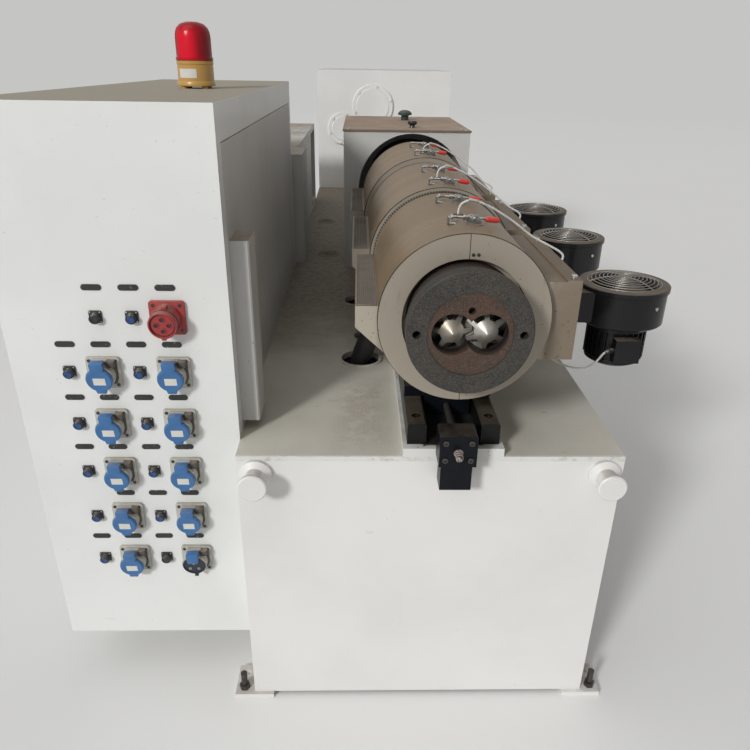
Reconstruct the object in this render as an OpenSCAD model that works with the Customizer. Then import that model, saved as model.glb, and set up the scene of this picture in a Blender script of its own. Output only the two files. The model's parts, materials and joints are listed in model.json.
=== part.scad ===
// Conical twin-screw plastic extruder on a sheet steel base, with heated barrel,
// three cooling fans, drive housings and a side-hung control cabinet.
// Millimetres. +Z up, -Y is the discharge end. Origin: centre of the floor bolts.

/* [Base] */
// Width of the base
base_w = 860; // [800:10:1000]
// Length of the base
base_l = 4450; // [4350:10:4800]
// Height of the deck above the floor
deck_z = 730; // [680:5:800]
// Thickness of the deck plate
deck_t = 12; // [8:1:20]
// Thickness of the base panels
panel_t = 8; // [5:1:12]
// Width of the folded lips along the base panels
lip_w = 50; // [30:5:80]
// Thickness of the foot plates
foot_t = 12; // [8:1:20]
// Length of a foot plate across the base
foot_w = 100; // [90:5:130]
// Length of a foot plate along the base
foot_l = 95; // [80:5:130]
// How far a foot plate stands out beside the base
foot_out = 50; // [44:1:60]
// How far an end foot plate stands out past the base
foot_ahead = 10; // [0:1:20]
// Diameter of the anchor bolt holes
anchor_d = 18; // [14:1:22]
// Anchor hole to the outer edge of its foot plate
anchor_edge = 22; // [16:1:24]
// Anchor hole to the inner edge of its foot plate, along the base
anchor_back = 25; // [20:1:35]
// Diameter of a levelling bolt
level_d = 16; // [12:1:20]
// Height of a levelling bolt above its plate
level_h = 52; // [40:1:70]
// Across-flats size of a levelling nut
level_nut = 24; // [20:1:30]

/* [Lifting bollards] */
// Distance of a bollard from the middle of the base
bollard_x = 387; // [360:1:395]
// Drop of a bollard's axis below the deck
bollard_drop = 43; // [38:1:60]
// Overhang of a bollard
bollard_len = 65; // [50:1:90]
// Diameter of a bollard's rims
bollard_d = 64; // [56:1:72]
// Diameter of a bollard's neck
bollard_neck = 45; // [35:1:50]

/* [Deck openings] */
// Inside diameter of the hose openings
hose_hole_d = 110; // [100:2:130]
// Inside diameter of the cable openings
cable_hole_d = 80; // [60:2:100]
// Height of the rim round a deck opening
rim_h = 5; // [3:1:10]
// Width of the rim round a deck opening
rim_w = 6; // [4:1:10]

/* [Barrel slide] */
// Side offset of the barrel axis from the middle of the base
axis_x = 48; // [30:1:60]
// Height of the barrel axis above the deck
axis_h = 320; // [310:1:360]
// Width of the slide pad
pad_w = 222; // [212:1:240]
// Height of the slide pad
pad_h = 20; // [15:1:30]
// Length of the slide pad
pad_l = 1500; // [1400:10:1520]
// Width of a slide rail
rail_w = 42; // [36:1:46]
// Height of a slide rail
rail_h = 50; // [40:1:52]
// Distance between the rail centres
rail_gap = 162; // [156:1:166]
// Setback of the rails at the front
rail_back = 20; // [15:1:40]
// Chamfer on the rails
rail_bevel = 4; // [2:1:6]
// Diameter of the rail screw counterbores
rail_bore = 20; // [16:1:24]
// Spacing of the rail screws
rail_pitch = 240; // [180:10:300]
// Width of the adjuster block
block_w = 80; // [70:1:90]
// Overhang of the adjuster block
block_l = 60; // [50:1:75]
// Height of the adjuster block above the deck
block_up = 83; // [76:1:90]
// Depth of the adjuster block below the deck
block_down = 55; // [40:1:70]
// Diameter of the adjuster rod
rod_d = 20; // [16:1:24]
// Height of the adjuster rod above the deck
rod_h = 44; // [40:1:48]
// Length of a barrel carriage
carriage_l = 340; // [300:5:360]
// Thickness of the carriage plate
carriage_t = 26; // [20:1:32]
// Thickness of the saddle that stands between two covers
saddle_t = 14; // [10:1:16]
// Width of the saddle
saddle_w = 110; // [90:1:130]

/* [Barrel] */
// Outside diameter of the barrel at the front
barrel_d1 = 224; // [216:2:230]
// Outside diameter of the barrel at the rear
barrel_d2 = 344; // [338:2:348]
// Diameter of the head flange
flange_d = 244; // [240:1:246]
// Thickness of the head flange
flange_t = 36; // [30:1:45]
// Chamfer on the head flange's edges
flange_c = 2; // [0.5:0.5:4]
// How far the head flange stands ahead of the base
flange_ahead = 92; // [80:1:100]
// Spacing of the two flange holes
die_pitch = 203; // [196:1:210]
// Diameter of the two flange holes
die_hole = 16; // [12:1:18]
// Diameter of the head insert
insert_d = 164; // [160:1:170]
// Depth of the insert's face behind the flange's face
insert_in = 2; // [1:1:4]
// Diameter of the probe hole in the insert
probe_hole = 14; // [10:1:16]
// Height of the probe hole above the barrel axis
probe_up = 47; // [45:1:52]

/* [Screws] */
// Diameter of a screw at its tip
screw_d1 = 80; // [76:1:82]
// Diameter of a screw at the feed end
screw_d2 = 156; // [150:1:160]
// Length over which the screw tapers
screw_l = 1820; // [1780:5:1850]
// Spacing of the screws at the tip
screw_c1 = 65; // [65:0.5:67]
// Spacing of the screws at the feed end
screw_c2 = 126; // [124:1:130]
// Diameter of a screw's core at the tip
core_d1 = 46; // [40:1:46]
// Diameter of a screw's core at the feed end
core_d2 = 88; // [80:1:90]
// Gap between a screw and its bore
screw_gap = 1; // [0.5:0.1:2]
// Length of the flighted discharge zone
flight_l = 320; // [240:10:400]
// Twist of the flights over the discharge zone
flight_twist = 540; // [360:10:720]
// Number of flights
flight_n = 6; // [4:1:6]
// Thickness of a flight at the crest
flight_t = 8; // [6:0.5:9]
// Length of a screw's cone point
point_l = 30; // [20:1:34]
// Diameter of a screw's rear journal
journal_d = 60; // [50:1:64]
// Length of a screw's rear journal
journal_l = 70; // [50:5:90]

/* [Heater covers] */
// Diameter of the first heater cover
cover_d1 = 344; // [340:1:348]
// Diameter of the second heater cover
cover_d2 = 364; // [358:1:370]
// Diameter of the third heater cover
cover_d3 = 384; // [378:1:390]
// Length of the first heater cover
cover_l1 = 441; // [435:1:445]
// Length of the second heater cover
cover_l2 = 450; // [440:1:455]
// Length of the third heater cover
cover_l3 = 470; // [450:1:480]
// How far the covers reach ahead of the base
cover_ahead = 15; // [10:1:20]
// Thickness of the end ring
ring_t = 4; // [3:1:6]
// Inside diameter of the end ring
ring_d = 250; // [248:1:260]
// Depth of the open mouth behind the end ring
mouth_l = 30; // [20:2:60]
// Split between the ring halves
ring_split = 1.5; // [1:0.5:3]
// Length of the perforated band
band_l1 = 20; // [18:1:24]
// Length of the dark band
band_l2 = 50; // [40:1:60]
// Length of the rear rim
band_l3 = 20; // [15:1:30]
// How far the bands sit below the cover ahead of them
band_in = 4; // [3:1:6]

/* [Air ducts] */
// How far a duct stands out beside its cover
duct_out = 45; // [40:1:50]
// How far a right duct stands out from the barrel axis
inlet_out = 232; // [226:1:238]
// Distance of the ducts from the ends of their covers
duct_end = 20; // [15:1:30]
// Height of a left duct's top above the axis
outlet_up = 22; // [18:1:30]
// Drop of a left duct's outer corner below the axis
outlet_down = 23; // [18:1:30]
// Drop of a left duct's lower corner below the axis
outlet_low = 77; // [70:1:80]
// Depth of the recess that holds a grille
grille_in = 6; // [5:1:10]
// Thickness of a grille
grille_t = 3; // [2:1:4]
// Border round a grille
grille_edge = 8; // [6:1:12]
// Number of bars in a grille
grille_bars = 10; // [6:1:14]
// Height of a right duct's top above the axis
inlet_up = 74; // [70:1:80]
// Drop of a right duct's floor below the axis
inlet_down = 91; // [85:1:95]
// Width of the strip along a right duct
strip_w = 30; // [24:1:36]
// Thickness of the strip along a right duct
strip_t = 3; // [2:1:5]

/* [Cooling fans] */
// Diameter of a fan housing
fan_d = 208; // [200:2:212]
// Height of a fan housing
fan_h = 91; // [84:1:96]
// Side distance of a fan from the barrel axis
fan_x = 416; // [410:1:422]
// Top of a fan housing above the barrel axis
fan_up = 1; // [-5:1:8]
// Diameter of a fan's inlet
fan_inlet = 156; // [140:2:164]
// Depth of a fan's inlet
fan_in = 42; // [30:1:50]
// Width of the spout between fan and duct
spout_w = 110; // [90:2:120]
// Height of the spout between fan and duct
spout_h = 72; // [60:1:80]
// Height of a fan guard's dome
guard_h = 14; // [10:1:20]
// Thickness of a fan guard's wires
wire_t = 3; // [2.5:0.5:4]
// Number of rings in a fan guard, with its hub
guard_rings = 4; // [3:1:5]
// Number of spokes in a fan guard
guard_spokes = 8; // [6:1:12]
// Diameter of a fan motor over its fins
motor_d = 140; // [130:1:148]
// Height of a fan motor
motor_h = 104; // [96:1:112]
// Number of fins on a fan motor
motor_fins = 28; // [20:1:36]
// Height of the fins on a fan motor
fin_h = 8; // [6:1:10]
// Thickness of a fin on a fan motor
fin_t = 3; // [2:0.5:4]
// Size of the terminal box on a fan motor
term_w = 60; // [50:1:70]
// Distance of the first fan behind the front of the base
fan_y1 = 264; // [230:1:290]
// Distance of the second fan behind the front of the base
fan_y2 = 740; // [700:1:760]
// Distance of the third fan behind the front of the base
fan_y3 = 1150; // [1120:1:1250]

/* [Cover fittings] */
// Length of a toggle latch
latch_l = 100; // [90:1:120]
// Width of a toggle latch
latch_w = 22; // [18:1:26]
// Height of a latch's pin above the cover
latch_up = 10; // [9:1:14]
// Diameter of a latch's draw rod
latch_rod = 6; // [5:0.5:8]
// Angle of the latches to the right of the cover tops
latch_a = 5; // [3:1:9]
// Diameter of a latch's red sleeve
sleeve_d = 13; // [11:1:15]
// Length of a latch's red sleeve
sleeve_l = 26; // [20:1:32]
// Diameter of a probe lead
lead_d = 5; // [4:0.5:7]
// Width of the clip that takes a lead's end
clip_w = 14; // [10:1:18]
// Diameter of the hose that rises through the deck
hose_d = 62; // [56:2:70]

/* [Drive line] */
// Width of the feed housing
feed_w = 492; // [484:2:510]
// Side offset of the feed housing's middle
feed_x = 25; // [20:1:30]
// Distance of the feed housing behind the front of the base
feed_y = 1530; // [1525:5:1560]
// Length of the feed housing
feed_l = 740; // [700:10:760]
// Height of the feed housing above the deck
feed_h = 536; // [532:1:550]
// Diameter of the arch round the barrel
arch_d = 420; // [410:2:424]
// Depth of the arch
arch_l = 210; // [200:5:220]
// Thickness of the feed housing's lid
lid_t = 6; // [4:1:8]
// Overlap of the lid
lid_out = 4; // [2:1:8]
// Diameter of the lid's knob
knob_d = 40; // [34:1:50]
// Diameter of the breather cap
breather_d = 62; // [54:1:70]
// Width of the distribution gearbox
dist_w = 430; // [400:5:450]
// Length of the distribution gearbox
dist_l = 620; // [560:10:660]
// Height of the distribution gearbox
dist_h = 440; // [400:5:460]
// Width of the coupling guard
guard_w = 300; // [260:5:340]
// Height of the coupling guard above the deck
guard_top = 400; // [360:5:430]
// Thickness of the coupling guard
guard_t = 3; // [2:1:5]
// Distance of the gearbox housing behind the front of the base
gear_y = 3540; // [3500:10:3560]
// Height of the gearbox housing above the deck
gear_h = 729; // [700:5:760]
// Diameter of the upper bearing cover
cap_d1 = 266; // [250:2:280]
// Diameter of the lower bearing cover
cap_d2 = 204; // [190:2:204]
// Thickness of the bearing covers
cap_t = 14; // [10:1:20]

/* [Control cabinet] */
// Width of the control cabinet
cab_w = 477; // [461:2:501]
// Length of the control cabinet
cab_l = 1507; // [1490:1:1520]
// Bottom of the control cabinet above the floor
cab_z = 154; // [140:2:180]
// Height of the control cabinet
cab_h = 1284; // [1240:4:1300]
// Distance of the control cabinet behind the front of the base
cab_y = 73; // [60:1:90]
// Depth of the seam round the side door
seam = 3; // [2:1:5]
// Thickness of the side door
door_t = 3; // [2:1:3]
// Height of the band above the side door
door_top = 72; // [60:2:80]
// Distance of the side door from the front corner
door_y = 43; // [38:1:60]
// Depth of the box duct on the cabinet
riser_d = 40; // [36:1:50]
// Width of the box duct on the cabinet
riser_w = 95; // [80:1:110]
// Height of the box duct on the cabinet
riser_h = 418; // [400:2:430]
// Height of the rear cabinet above the floor
rear_h = 1170; // [1150:5:1200]
// Length of the rear cabinet
rear_l = 1510; // [1450:10:1550]
// Length of the rear cabinet's step over the deck
step_l = 250; // [200:10:300]
// Length of the cable channel's recess
chan_l = 340; // [300:10:380]
// Height of the cable channel's recess
chan_h = 400; // [380:5:410]
// Depth of the cable channel's recess
chan_w = 150; // [100:10:200]
// Height of the recess above the deck
chan_up = 15; // [10:1:20]
// Wall of the open cable channel
chan_t = 3; // [2:1:5]

/* [Socket panel] */
// Spacing of the label plates across the panel
plate_px = 75; // [72:1:78]
// Spacing of the socket rows
plate_pz = 125; // [120:1:125]
// Height of the top row of plates above the floor
plate_z = 1087; // [1080:1:1100]
// Distance of the first plates from the left of the cabinet
plate_x = 124; // [110:1:134]
// Length of a label plate
plate_w = 42; // [36:1:46]
// Height of a label plate
plate_h = 13; // [10:1:16]
// Drop from a plate to its connector or socket
socket_drop = 63; // [60:1:66]
// Size of a socket flange
socket_w = 72; // [66:1:73]
// Thickness of a socket flange
socket_t = 8; // [6:1:10]
// Diameter of a socket's body
socket_d = 54; // [50:1:58]
// Diameter of a small connector
conn_d = 22; // [18:1:26]

/* [Beacon] */
// Diameter of the beacon's base
beacon_d = 105; // [100:1:110]
// Height of the beacon's base
beacon_h = 68; // [60:1:76]
// Height of the beacon's lens
lens_h = 92; // [84:1:98]
// Distance of the beacon from the right side of the cabinet
beacon_x = 171; // [150:1:190]
// Distance of the beacon behind the front of the base
beacon_y = 750; // [700:5:800]

/* [Hidden] */
$fn = 64;
// Gap between curved faces that seat on each other
seat = 0.3;
foot_x = base_w/2 + foot_out - foot_w/2;
foot_fy = -foot_ahead + foot_l/2;
foot_ry = base_l + foot_ahead - foot_l/2;
anchor_x = base_w/2 + foot_out - anchor_edge;
anchor_fy = foot_fy + foot_l/2 - anchor_back;
anchor_ry = foot_ry - foot_l/2 + anchor_back;
level_fy = foot_fy - foot_l/4;
panel_z = foot_t;
panel_h = deck_z - deck_t - foot_t;
axis_z = deck_z + axis_h;
rail_z = deck_z + pad_h;
rail_l = pad_l - 2*rail_back;
slide_z = rail_z + rail_h;
face_y = -flange_ahead;
core_y = face_y + flange_t;
cov_y1 = -cover_ahead + ring_t;
cov_y2 = -cover_ahead + ring_t + cover_l1 + band_l1;
cov_y3 = cov_y2 + cover_l2 + band_l2;
cov_end = cov_y3 + cover_l3;
bulk_y = feed_y + arch_l;
barrel_l = bulk_y - core_y;
barrel_k = (barrel_d2 - barrel_d1)/2/barrel_l;
saddle_y = cov_y2 - band_l1/2 - saddle_t/2;
carriage_y = saddle_y + saddle_t/2 + 60 - carriage_l;
// Half angle between the screws
screw_a = atan((screw_c2 - screw_c1)/2/screw_l);
screw_k = (screw_d2 - screw_d1)/2/screw_l;
core_k = (core_d2 - core_d1)/2/screw_l;
// The cone points start this far behind the flange's face
tip_in = 4;
// Running gap between a screw's shoulder and the bulkhead
shoulder_gap = 2;
star_y = tip_in + point_l;
screw_end = bulk_y - face_y;
duct_y = [cov_y1 + duct_end, cov_y2 + duct_end, cov_y3 + duct_end];
duct_l = [cover_l1 - 2*duct_end, cover_l2 - 2*duct_end, cover_l3 - 2*duct_end];
cover_d = [cover_d1, cover_d2, cover_d3];
cover_y = [cov_y1, cov_y2, cov_y3];
cover_l = [cover_l1, cover_l2, cover_l3];
fan_y = [fan_y1, fan_y2, fan_y3];
fan_z = axis_z + fan_up;
inlet_x = axis_x + inlet_out;
cab_x = -base_w/2;
lid_z = deck_z + feed_h + lid_t;
rear_y = cab_y + cab_l + 20;
chan_y = rear_y + rear_l - chan_l - 20;
dist_y = feed_y + feed_l;
latch_y = [84, 315, 508, 730, 1026, 1250];
latch_c = [0, 0, 1, 1, 2, 2];
probe_y = [170, 610, 1065];
hose_hole = [[-155, 545, hose_hole_d], [-155, 1080, hose_hole_d]];
cable_hole = [[-135, 722, cable_hole_d], [-296, 1750, cable_hole_d], [-334, 2430, cable_hole_d]];
// Joints between the deck's plates, and the gap left at each
deck_y = [640, 900, 1400, 2060, 2800];
deck_gap = 0.5;
// Gap between a lead and what it lies along
lead_gap = 0.8;

// Places children a distance behind the front of the base
module behind(y) {
  translate([0, y - base_l/2, 0]) children();
}

// Turns a shape drawn round Z so that it runs towards +Y from the barrel axis
module on_axis(y) {
  behind(y) translate([axis_x, 0, axis_z]) rotate([-90, 0, 0]) children();
}

// Extrudes an X-Z outline along +Y
module along(y, l) {
  behind(y + l) rotate([90, 0, 0]) linear_extrude(l) children();
}

// Places children on one screw's own axis, drawn round Z from the flange's face
module on_screw(side) {
  behind(face_y) translate([axis_x + side*screw_c1/2, 0, axis_z])
    rotate([0, 0, -side*screw_a]) rotate([-90, 0, 0]) children();
}

module bored_slab(w, l, t, d, x, y) {
  difference() {
    translate([-w/2, -l/2, 0]) cube([w, l, t]);
    translate([x, y, -1]) cylinder(h = t + 2, d = d);
  }
}

// ---- Base ----

module end_panel() {
  translate([-base_w/2, 0, panel_z]) cube([base_w, panel_t, panel_h]);
}

module base_front_panel() {
  color("whitesmoke") behind(0) end_panel();
}

module base_rear_panel() {
  color("whitesmoke") behind(base_l - panel_t) end_panel();
}

// Web with a folded lip at the floor and one under the deck
module side_panel() {
  along(panel_t, base_l - 2*panel_t) difference() {
    translate([0, panel_z]) square([lip_w, panel_h]);
    translate([panel_t, panel_z + panel_t]) square([lip_w, panel_h - 2*panel_t]);
  }
}

module base_left_panel() {
  color("whitesmoke") translate([-base_w/2, 0, 0]) side_panel();
}

module base_right_panel() {
  color("whitesmoke") mirror([1, 0, 0]) translate([-base_w/2, 0, 0]) side_panel();
}

// One of the deck's plates, with its rimmed openings: [x, y, diameter] each
module deck_panel(y1, y2, holes) {
  difference() {
    union() {
      behind(y1) translate([-base_w/2, 0, deck_z - deck_t]) cube([base_w, y2 - y1, deck_t]);
      for (h = holes) behind(h[1]) translate([h[0], 0, deck_z - 1])
        cylinder(h = rim_h + 1, d = h[2] + 2*rim_w);
    }
    for (h = holes) behind(h[1]) translate([h[0], 0, deck_z - deck_t - 1])
      cylinder(h = deck_t + rim_h + 2, d = h[2]);
  }
}

module deck_plate() {
  color("gainsboro") {
    deck_panel(0, deck_y[0], [hose_hole[0]]);
    deck_panel(deck_y[0] + deck_gap, deck_y[1], [cable_hole[0]]);
    deck_panel(deck_y[1] + deck_gap, deck_y[2], [hose_hole[1]]);
    deck_panel(deck_y[2] + deck_gap, deck_y[3], [cable_hole[1]]);
    deck_panel(deck_y[3] + deck_gap, deck_y[4], [cable_hole[2]]);
    deck_panel(deck_y[4] + deck_gap, base_l, []);
  }
}

module foot_plates() {
  hx = anchor_x - foot_x;
  hy = anchor_fy - foot_fy;
  color("whitesmoke") for (s = [-1, 1]) {
    behind(foot_fy) translate([s*foot_x, 0, 0])
      bored_slab(foot_w, foot_l, foot_t, anchor_d, s*hx, hy);
    behind(base_l/2) translate([s*foot_x, 0, 0])
      bored_slab(foot_w, foot_l, foot_t, anchor_d, s*hx, 0);
    behind(foot_ry) translate([s*foot_x, 0, 0])
      bored_slab(foot_w, foot_l, foot_t, anchor_d, s*hx, -hy);
  }
}

module levelling_bolt() {
  translate([0, 0, foot_t]) cylinder(h = level_h, d = level_d);
  translate([0, 0, foot_t]) cylinder(h = 0.8*level_d, d = level_nut/cos(30), $fn = 6);
}

module levelling_bolts() {
  color("dimgray") for (s = [-1, 1]) {
    behind(level_fy) translate([s*anchor_x, 0, 0]) levelling_bolt();
    behind(base_l - level_fy) translate([s*anchor_x, 0, 0]) levelling_bolt();
  }
}

// Capstan-shaped bollard, turned, with a rim at the wall and one at the end
module bollard() {
  r = bollard_d/2;
  n = bollard_neck/2;
  rotate_extrude() polygon([
    [0, 0], [r + 4, 0], [r + 4, 10], [n, 18], [n, bollard_len - 16],
    [r, bollard_len - 11], [r, bollard_len - 3], [r - 3, bollard_len], [0, bollard_len]
  ]);
}

module lifting_bollards() {
  z = deck_z - bollard_drop;
  color("whitesmoke") for (s = [-1, 1]) {
    behind(0) translate([s*bollard_x, 0, z]) rotate([90, 0, 0]) bollard();
    behind(base_l) translate([s*bollard_x, 0, z]) rotate([-90, 0, 0]) bollard();
  }
}

// ---- Barrel slide ----

module slide_pad() {
  color("whitesmoke") behind(0) translate([axis_x - pad_w/2, 0, deck_z])
    cube([pad_w, pad_l, pad_h]);
}

module slide_rail() {
  w = rail_w/2;
  b = rail_bevel;
  difference() {
    along(rail_back, rail_l) polygon([
      [-w, rail_z], [w, rail_z], [w, slide_z - b], [w - b, slide_z],
      [b - w, slide_z], [-w, slide_z - b]
    ]);
    for (y = [rail_back + 40 : rail_pitch : rail_back + rail_l - 40])
      behind(y) translate([0, 0, slide_z - rail_h/4]) cylinder(h = rail_h, d = rail_bore);
  }
}

module slide_rails() {
  color("dimgray") for (s = [-1, 1]) translate([axis_x + s*rail_gap/2, 0, 0]) slide_rail();
}

module adjuster_block() {
  w = block_w/2;
  c = 4;
  up = deck_z + block_up;
  color("black") difference() {
    union() {
      along(-block_l, block_l) translate([axis_x, 0]) polygon([
        [-w, deck_z + 10], [w, deck_z + 10], [w, up - c], [w - c, up], [c - w, up], [-w, up - c]
      ]);
      along(-block_l + 12, block_l - 12) translate([axis_x, 0])
        translate([6 - w, deck_z - block_down]) square([2*w - 12, block_down + 10]);
    }
    behind(-block_l - 1) translate([axis_x, 0, deck_z + rod_h]) rotate([-90, 0, 0])
      cylinder(h = block_l + 2, d = rod_d + 2*seat);
  }
}

module adjuster_rod() {
  over = 28;
  color("slategray") behind(-block_l - over) translate([axis_x, 0, deck_z + rod_h])
    rotate([-90, 0, 0]) cylinder(h = block_l + over + carriage_y + 30, d = rod_d);
}

// Plate on both rails, a lug between them for the rod, and a saddle under the barrel
module barrel_carriage() {
  lug = rail_gap - rail_w - 12;
  top = slide_z + carriage_t;
  sr = barrel_r_at(saddle_y + saddle_t) + seat;
  color("black") difference() {
    union() {
      behind(carriage_y) translate([axis_x - (rail_gap + rail_w)/2, 0, slide_z])
        cube([rail_gap + rail_w, carriage_l, carriage_t]);
      behind(carriage_y) translate([axis_x - lug/2, 0, rail_z + 3])
        cube([lug, 60, rail_h]);
      along(saddle_y, saddle_t) translate([axis_x - saddle_w/2, top - 1])
        square([saddle_w, axis_z - sr - top + 14]);
    }
    along(saddle_y - 1, saddle_t + 2) translate([axis_x, axis_z])
      circle(r = sr, $fn = 96);
    behind(carriage_y - 1) translate([axis_x, 0, deck_z + rod_h]) rotate([-90, 0, 0])
      cylinder(h = 32, d = rod_d + 2*seat);
  }
}

// ---- Barrel and screws ----

function barrel_r_at(y) = barrel_d1/2 + barrel_k*(y - core_y);

// Two cones that meet in a figure of eight
module screw_bores() {
  for (s = [-1, 1]) on_screw(s) translate([0, 0, -5])
    cylinder(h = screw_end + 40, r1 = screw_d1/2 + screw_gap - 5*screw_k,
             r2 = screw_d1/2 + screw_gap + (screw_end + 35)*screw_k);
}

module barrel() {
  color("darkgray") difference() {
    on_axis(core_y) cylinder(h = barrel_l, d1 = barrel_d1, d2 = barrel_d2, $fn = 96);
    screw_bores();
  }
}

// Disc whose front and rear edges are broken
module broken_disc(d, t, c) {
  rotate_extrude($fn = 96) polygon([
    [0, 0], [d/2 - c, 0], [d/2, c], [d/2, t - c], [d/2 - c, t], [0, t]
  ]);
}

module head_flange() {
  color("dimgray") difference() {
    on_axis(face_y) broken_disc(flange_d, flange_t, flange_c);
    on_axis(face_y - 1) cylinder(h = flange_t + 2, d = insert_d + 2*seat, $fn = 96);
    for (s = [-1, 1]) on_axis(face_y - 1) translate([s*die_pitch/2, 0, 0])
      cylinder(h = flange_t + 2, d = die_hole, $fn = 32);
  }
}

module head_insert() {
  color("saddlebrown") difference() {
    on_axis(face_y + insert_in) cylinder(h = flange_t - insert_in, d = insert_d, $fn = 96);
    on_axis(face_y) translate([0, -probe_up, 0]) cylinder(h = 20, d = probe_hole, $fn = 32);
    screw_bores();
  }
}

// Cross-section of the flighted zone: narrow flights on the core
module star() {
  r = screw_d1/2 + screw_k*star_y;
  c = core_d1/2 + core_k*star_y;
  pitch = 360/flight_n;
  half = asin(flight_t/2/r);
  root = asin(flight_t*0.62/c);
  polygon([for (i = [0 : flight_n - 1]) for (p = [
    [c, i*pitch - root], [r, i*pitch - half], [r, i*pitch + half], [c, i*pitch + root],
    [c, (i + 0.5)*pitch]
  ]) [p[0]*cos(p[1]), p[0]*sin(p[1])]]);
}

// One turned body with tapered core and rear journal, a star-shaped cone point ahead of it,
// and the flighted zone round it
module screw(turn) {
  r0 = screw_d1/2 + screw_k*star_y;
  knee = star_y + 3;
  inset = 1.2;
  end = screw_end - shoulder_gap;
  rotate_extrude($fn = 64) polygon([
    [0, star_y - 8], [core_d1/2 - 8, star_y - 8], [core_d1/2 + core_k*knee - inset, knee],
    [core_d1/2 + core_k*end - inset, end], [journal_d/2, end],
    [journal_d/2, end + journal_l], [0, end + journal_l]
  ]);
  intersection() {
    rotate_extrude($fn = 64) polygon([
      [0, tip_in], [1, tip_in], [r0 + 1, star_y + 0.5], [0, star_y + 0.5]
    ]);
    translate([0, 0, tip_in - 1]) rotate([0, 0, turn]) linear_extrude(point_l + 1.5) star();
  }
  translate([0, 0, star_y]) rotate([0, 0, turn])
    linear_extrude(height = flight_l, twist = flight_twist, slices = 36,
                   scale = (r0 + screw_k*flight_l)/r0) star();
}

module screw_left() {
  color("silver") on_screw(-1) screw(0);
}

module screw_right() {
  color("silver") on_screw(1) mirror([1, 0, 0]) screw(180/flight_n);
}

// ---- Heater covers, ducts and bands ----

module barrel_room() {
  on_axis(core_y) cylinder(h = barrel_l, d1 = barrel_d1 + 2*seat, d2 = barrel_d2 + 2*seat,
                           $fn = 96);
}

module cover(i) {
  difference() {
    on_axis(cover_y[i]) cylinder(h = cover_l[i], d = cover_d[i], $fn = 128);
    barrel_room();
    behind(probe_y[i]) translate([axis_x, 0, axis_z + cover_d[i]/2 - 12])
      cylinder(h = 20, d = lead_d + 9, $fn = 24);
    if (i == 0) on_axis(cov_y1 - 1) cylinder(h = mouth_l + 1, d = ring_d, $fn = 96);
  }
}

module end_ring() {
  color("tan") difference() {
    on_axis(-cover_ahead) cylinder(h = ring_t, d = cover_d1, $fn = 128);
    on_axis(-cover_ahead - 1) cylinder(h = ring_t + 2, d = ring_d, $fn = 96);
    behind(-cover_ahead - 1) translate([axis_x - ring_split/2, 0, axis_z - cover_d1])
      cube([ring_split, ring_t + 2, 2*cover_d1]);
  }
}

module heater_cover_1() {
  color("tan") cover(0);
}

module heater_cover_2() {
  color("tan") cover(1);
}

module heater_cover_3() {
  color("tan") cover(2);
}

// Perforated band, dark band and rear rim; the first is open below for the saddle
module cover_bands() {
  color("dimgray") difference() {
    union() {
      on_axis(cov_y2 - band_l1) cylinder(h = band_l1, d = cover_d1 - 2*band_in, $fn = 96);
      on_axis(cov_y3 - band_l2) cylinder(h = band_l2, d = cover_d2 - 2*band_in, $fn = 96);
      on_axis(cov_end) cylinder(h = band_l3, d = cover_d3 - 2*band_in, $fn = 96);
    }
    barrel_room();
    behind(cov_y2 - band_l1 - 1) translate([axis_x - saddle_w/2 - 1, 0, axis_z - cover_d1])
      cube([saddle_w + 2, band_l1 + 2, cover_d1]);
  }
}

module outlet_duct(i) {
  r = cover_d[i]/2 + seat;
  o = cover_d[i]/2 + duct_out;
  y = duct_y[i];
  l = duct_l[i];
  difference() {
    along(y, l) translate([axis_x, axis_z]) difference() {
      polygon([
        [-o, outlet_up], [-o, -outlet_down], [-o + 58, -outlet_low], [-o + 100, -outlet_low],
        [-o + 100, outlet_up]
      ]);
      circle(r = r, $fn = 128);
    }
    behind(y + grille_edge) translate([axis_x - o + grille_edge, 0, axis_z + outlet_up - grille_in])
      cube([duct_out - 2*grille_edge, l - 2*grille_edge, grille_in + 1]);
  }
}

module outlet_ducts() {
  color("tan") for (i = [0 : 2]) outlet_duct(i);
}

module outlet_grille(i) {
  w = duct_out - 2*grille_edge;
  l = duct_l[i] - 2*grille_edge;
  pitch = l/grille_bars;
  behind(duct_y[i] + grille_edge)
    translate([axis_x - cover_d[i]/2 - duct_out + grille_edge, 0, axis_z + outlet_up - grille_in])
    difference() {
      cube([w, l, grille_t]);
      for (k = [0 : grille_bars - 1]) translate([5, (k + 0.5)*pitch - pitch/2 + 3, -1])
        cube([w - 10, pitch - 6, grille_t + 2]);
    }
}

module outlet_grilles() {
  color("dimgray") for (i = [0 : 2]) outlet_grille(i);
}

module inlet_duct(i) {
  r = cover_d[i]/2 + seat;
  along(duct_y[i], duct_l[i]) translate([axis_x, axis_z]) difference() {
    translate([60, -inlet_down]) square([inlet_out - 60, inlet_up + inlet_down]);
    circle(r = r, $fn = 128);
  }
}

module inlet_ducts() {
  color("tan") for (i = [0 : 2]) inlet_duct(i);
}

module inlet_strips() {
  color("tan") for (i = [0 : 2])
    behind(duct_y[i]) translate([inlet_x - strip_w, 0, axis_z + inlet_up])
      cube([strip_w, duct_l[i], strip_t]);
}

// ---- Cooling fans ----

module at_fan(i) {
  behind(fan_y[i]) translate([axis_x + fan_x, 0, fan_z]) children();
}

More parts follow.
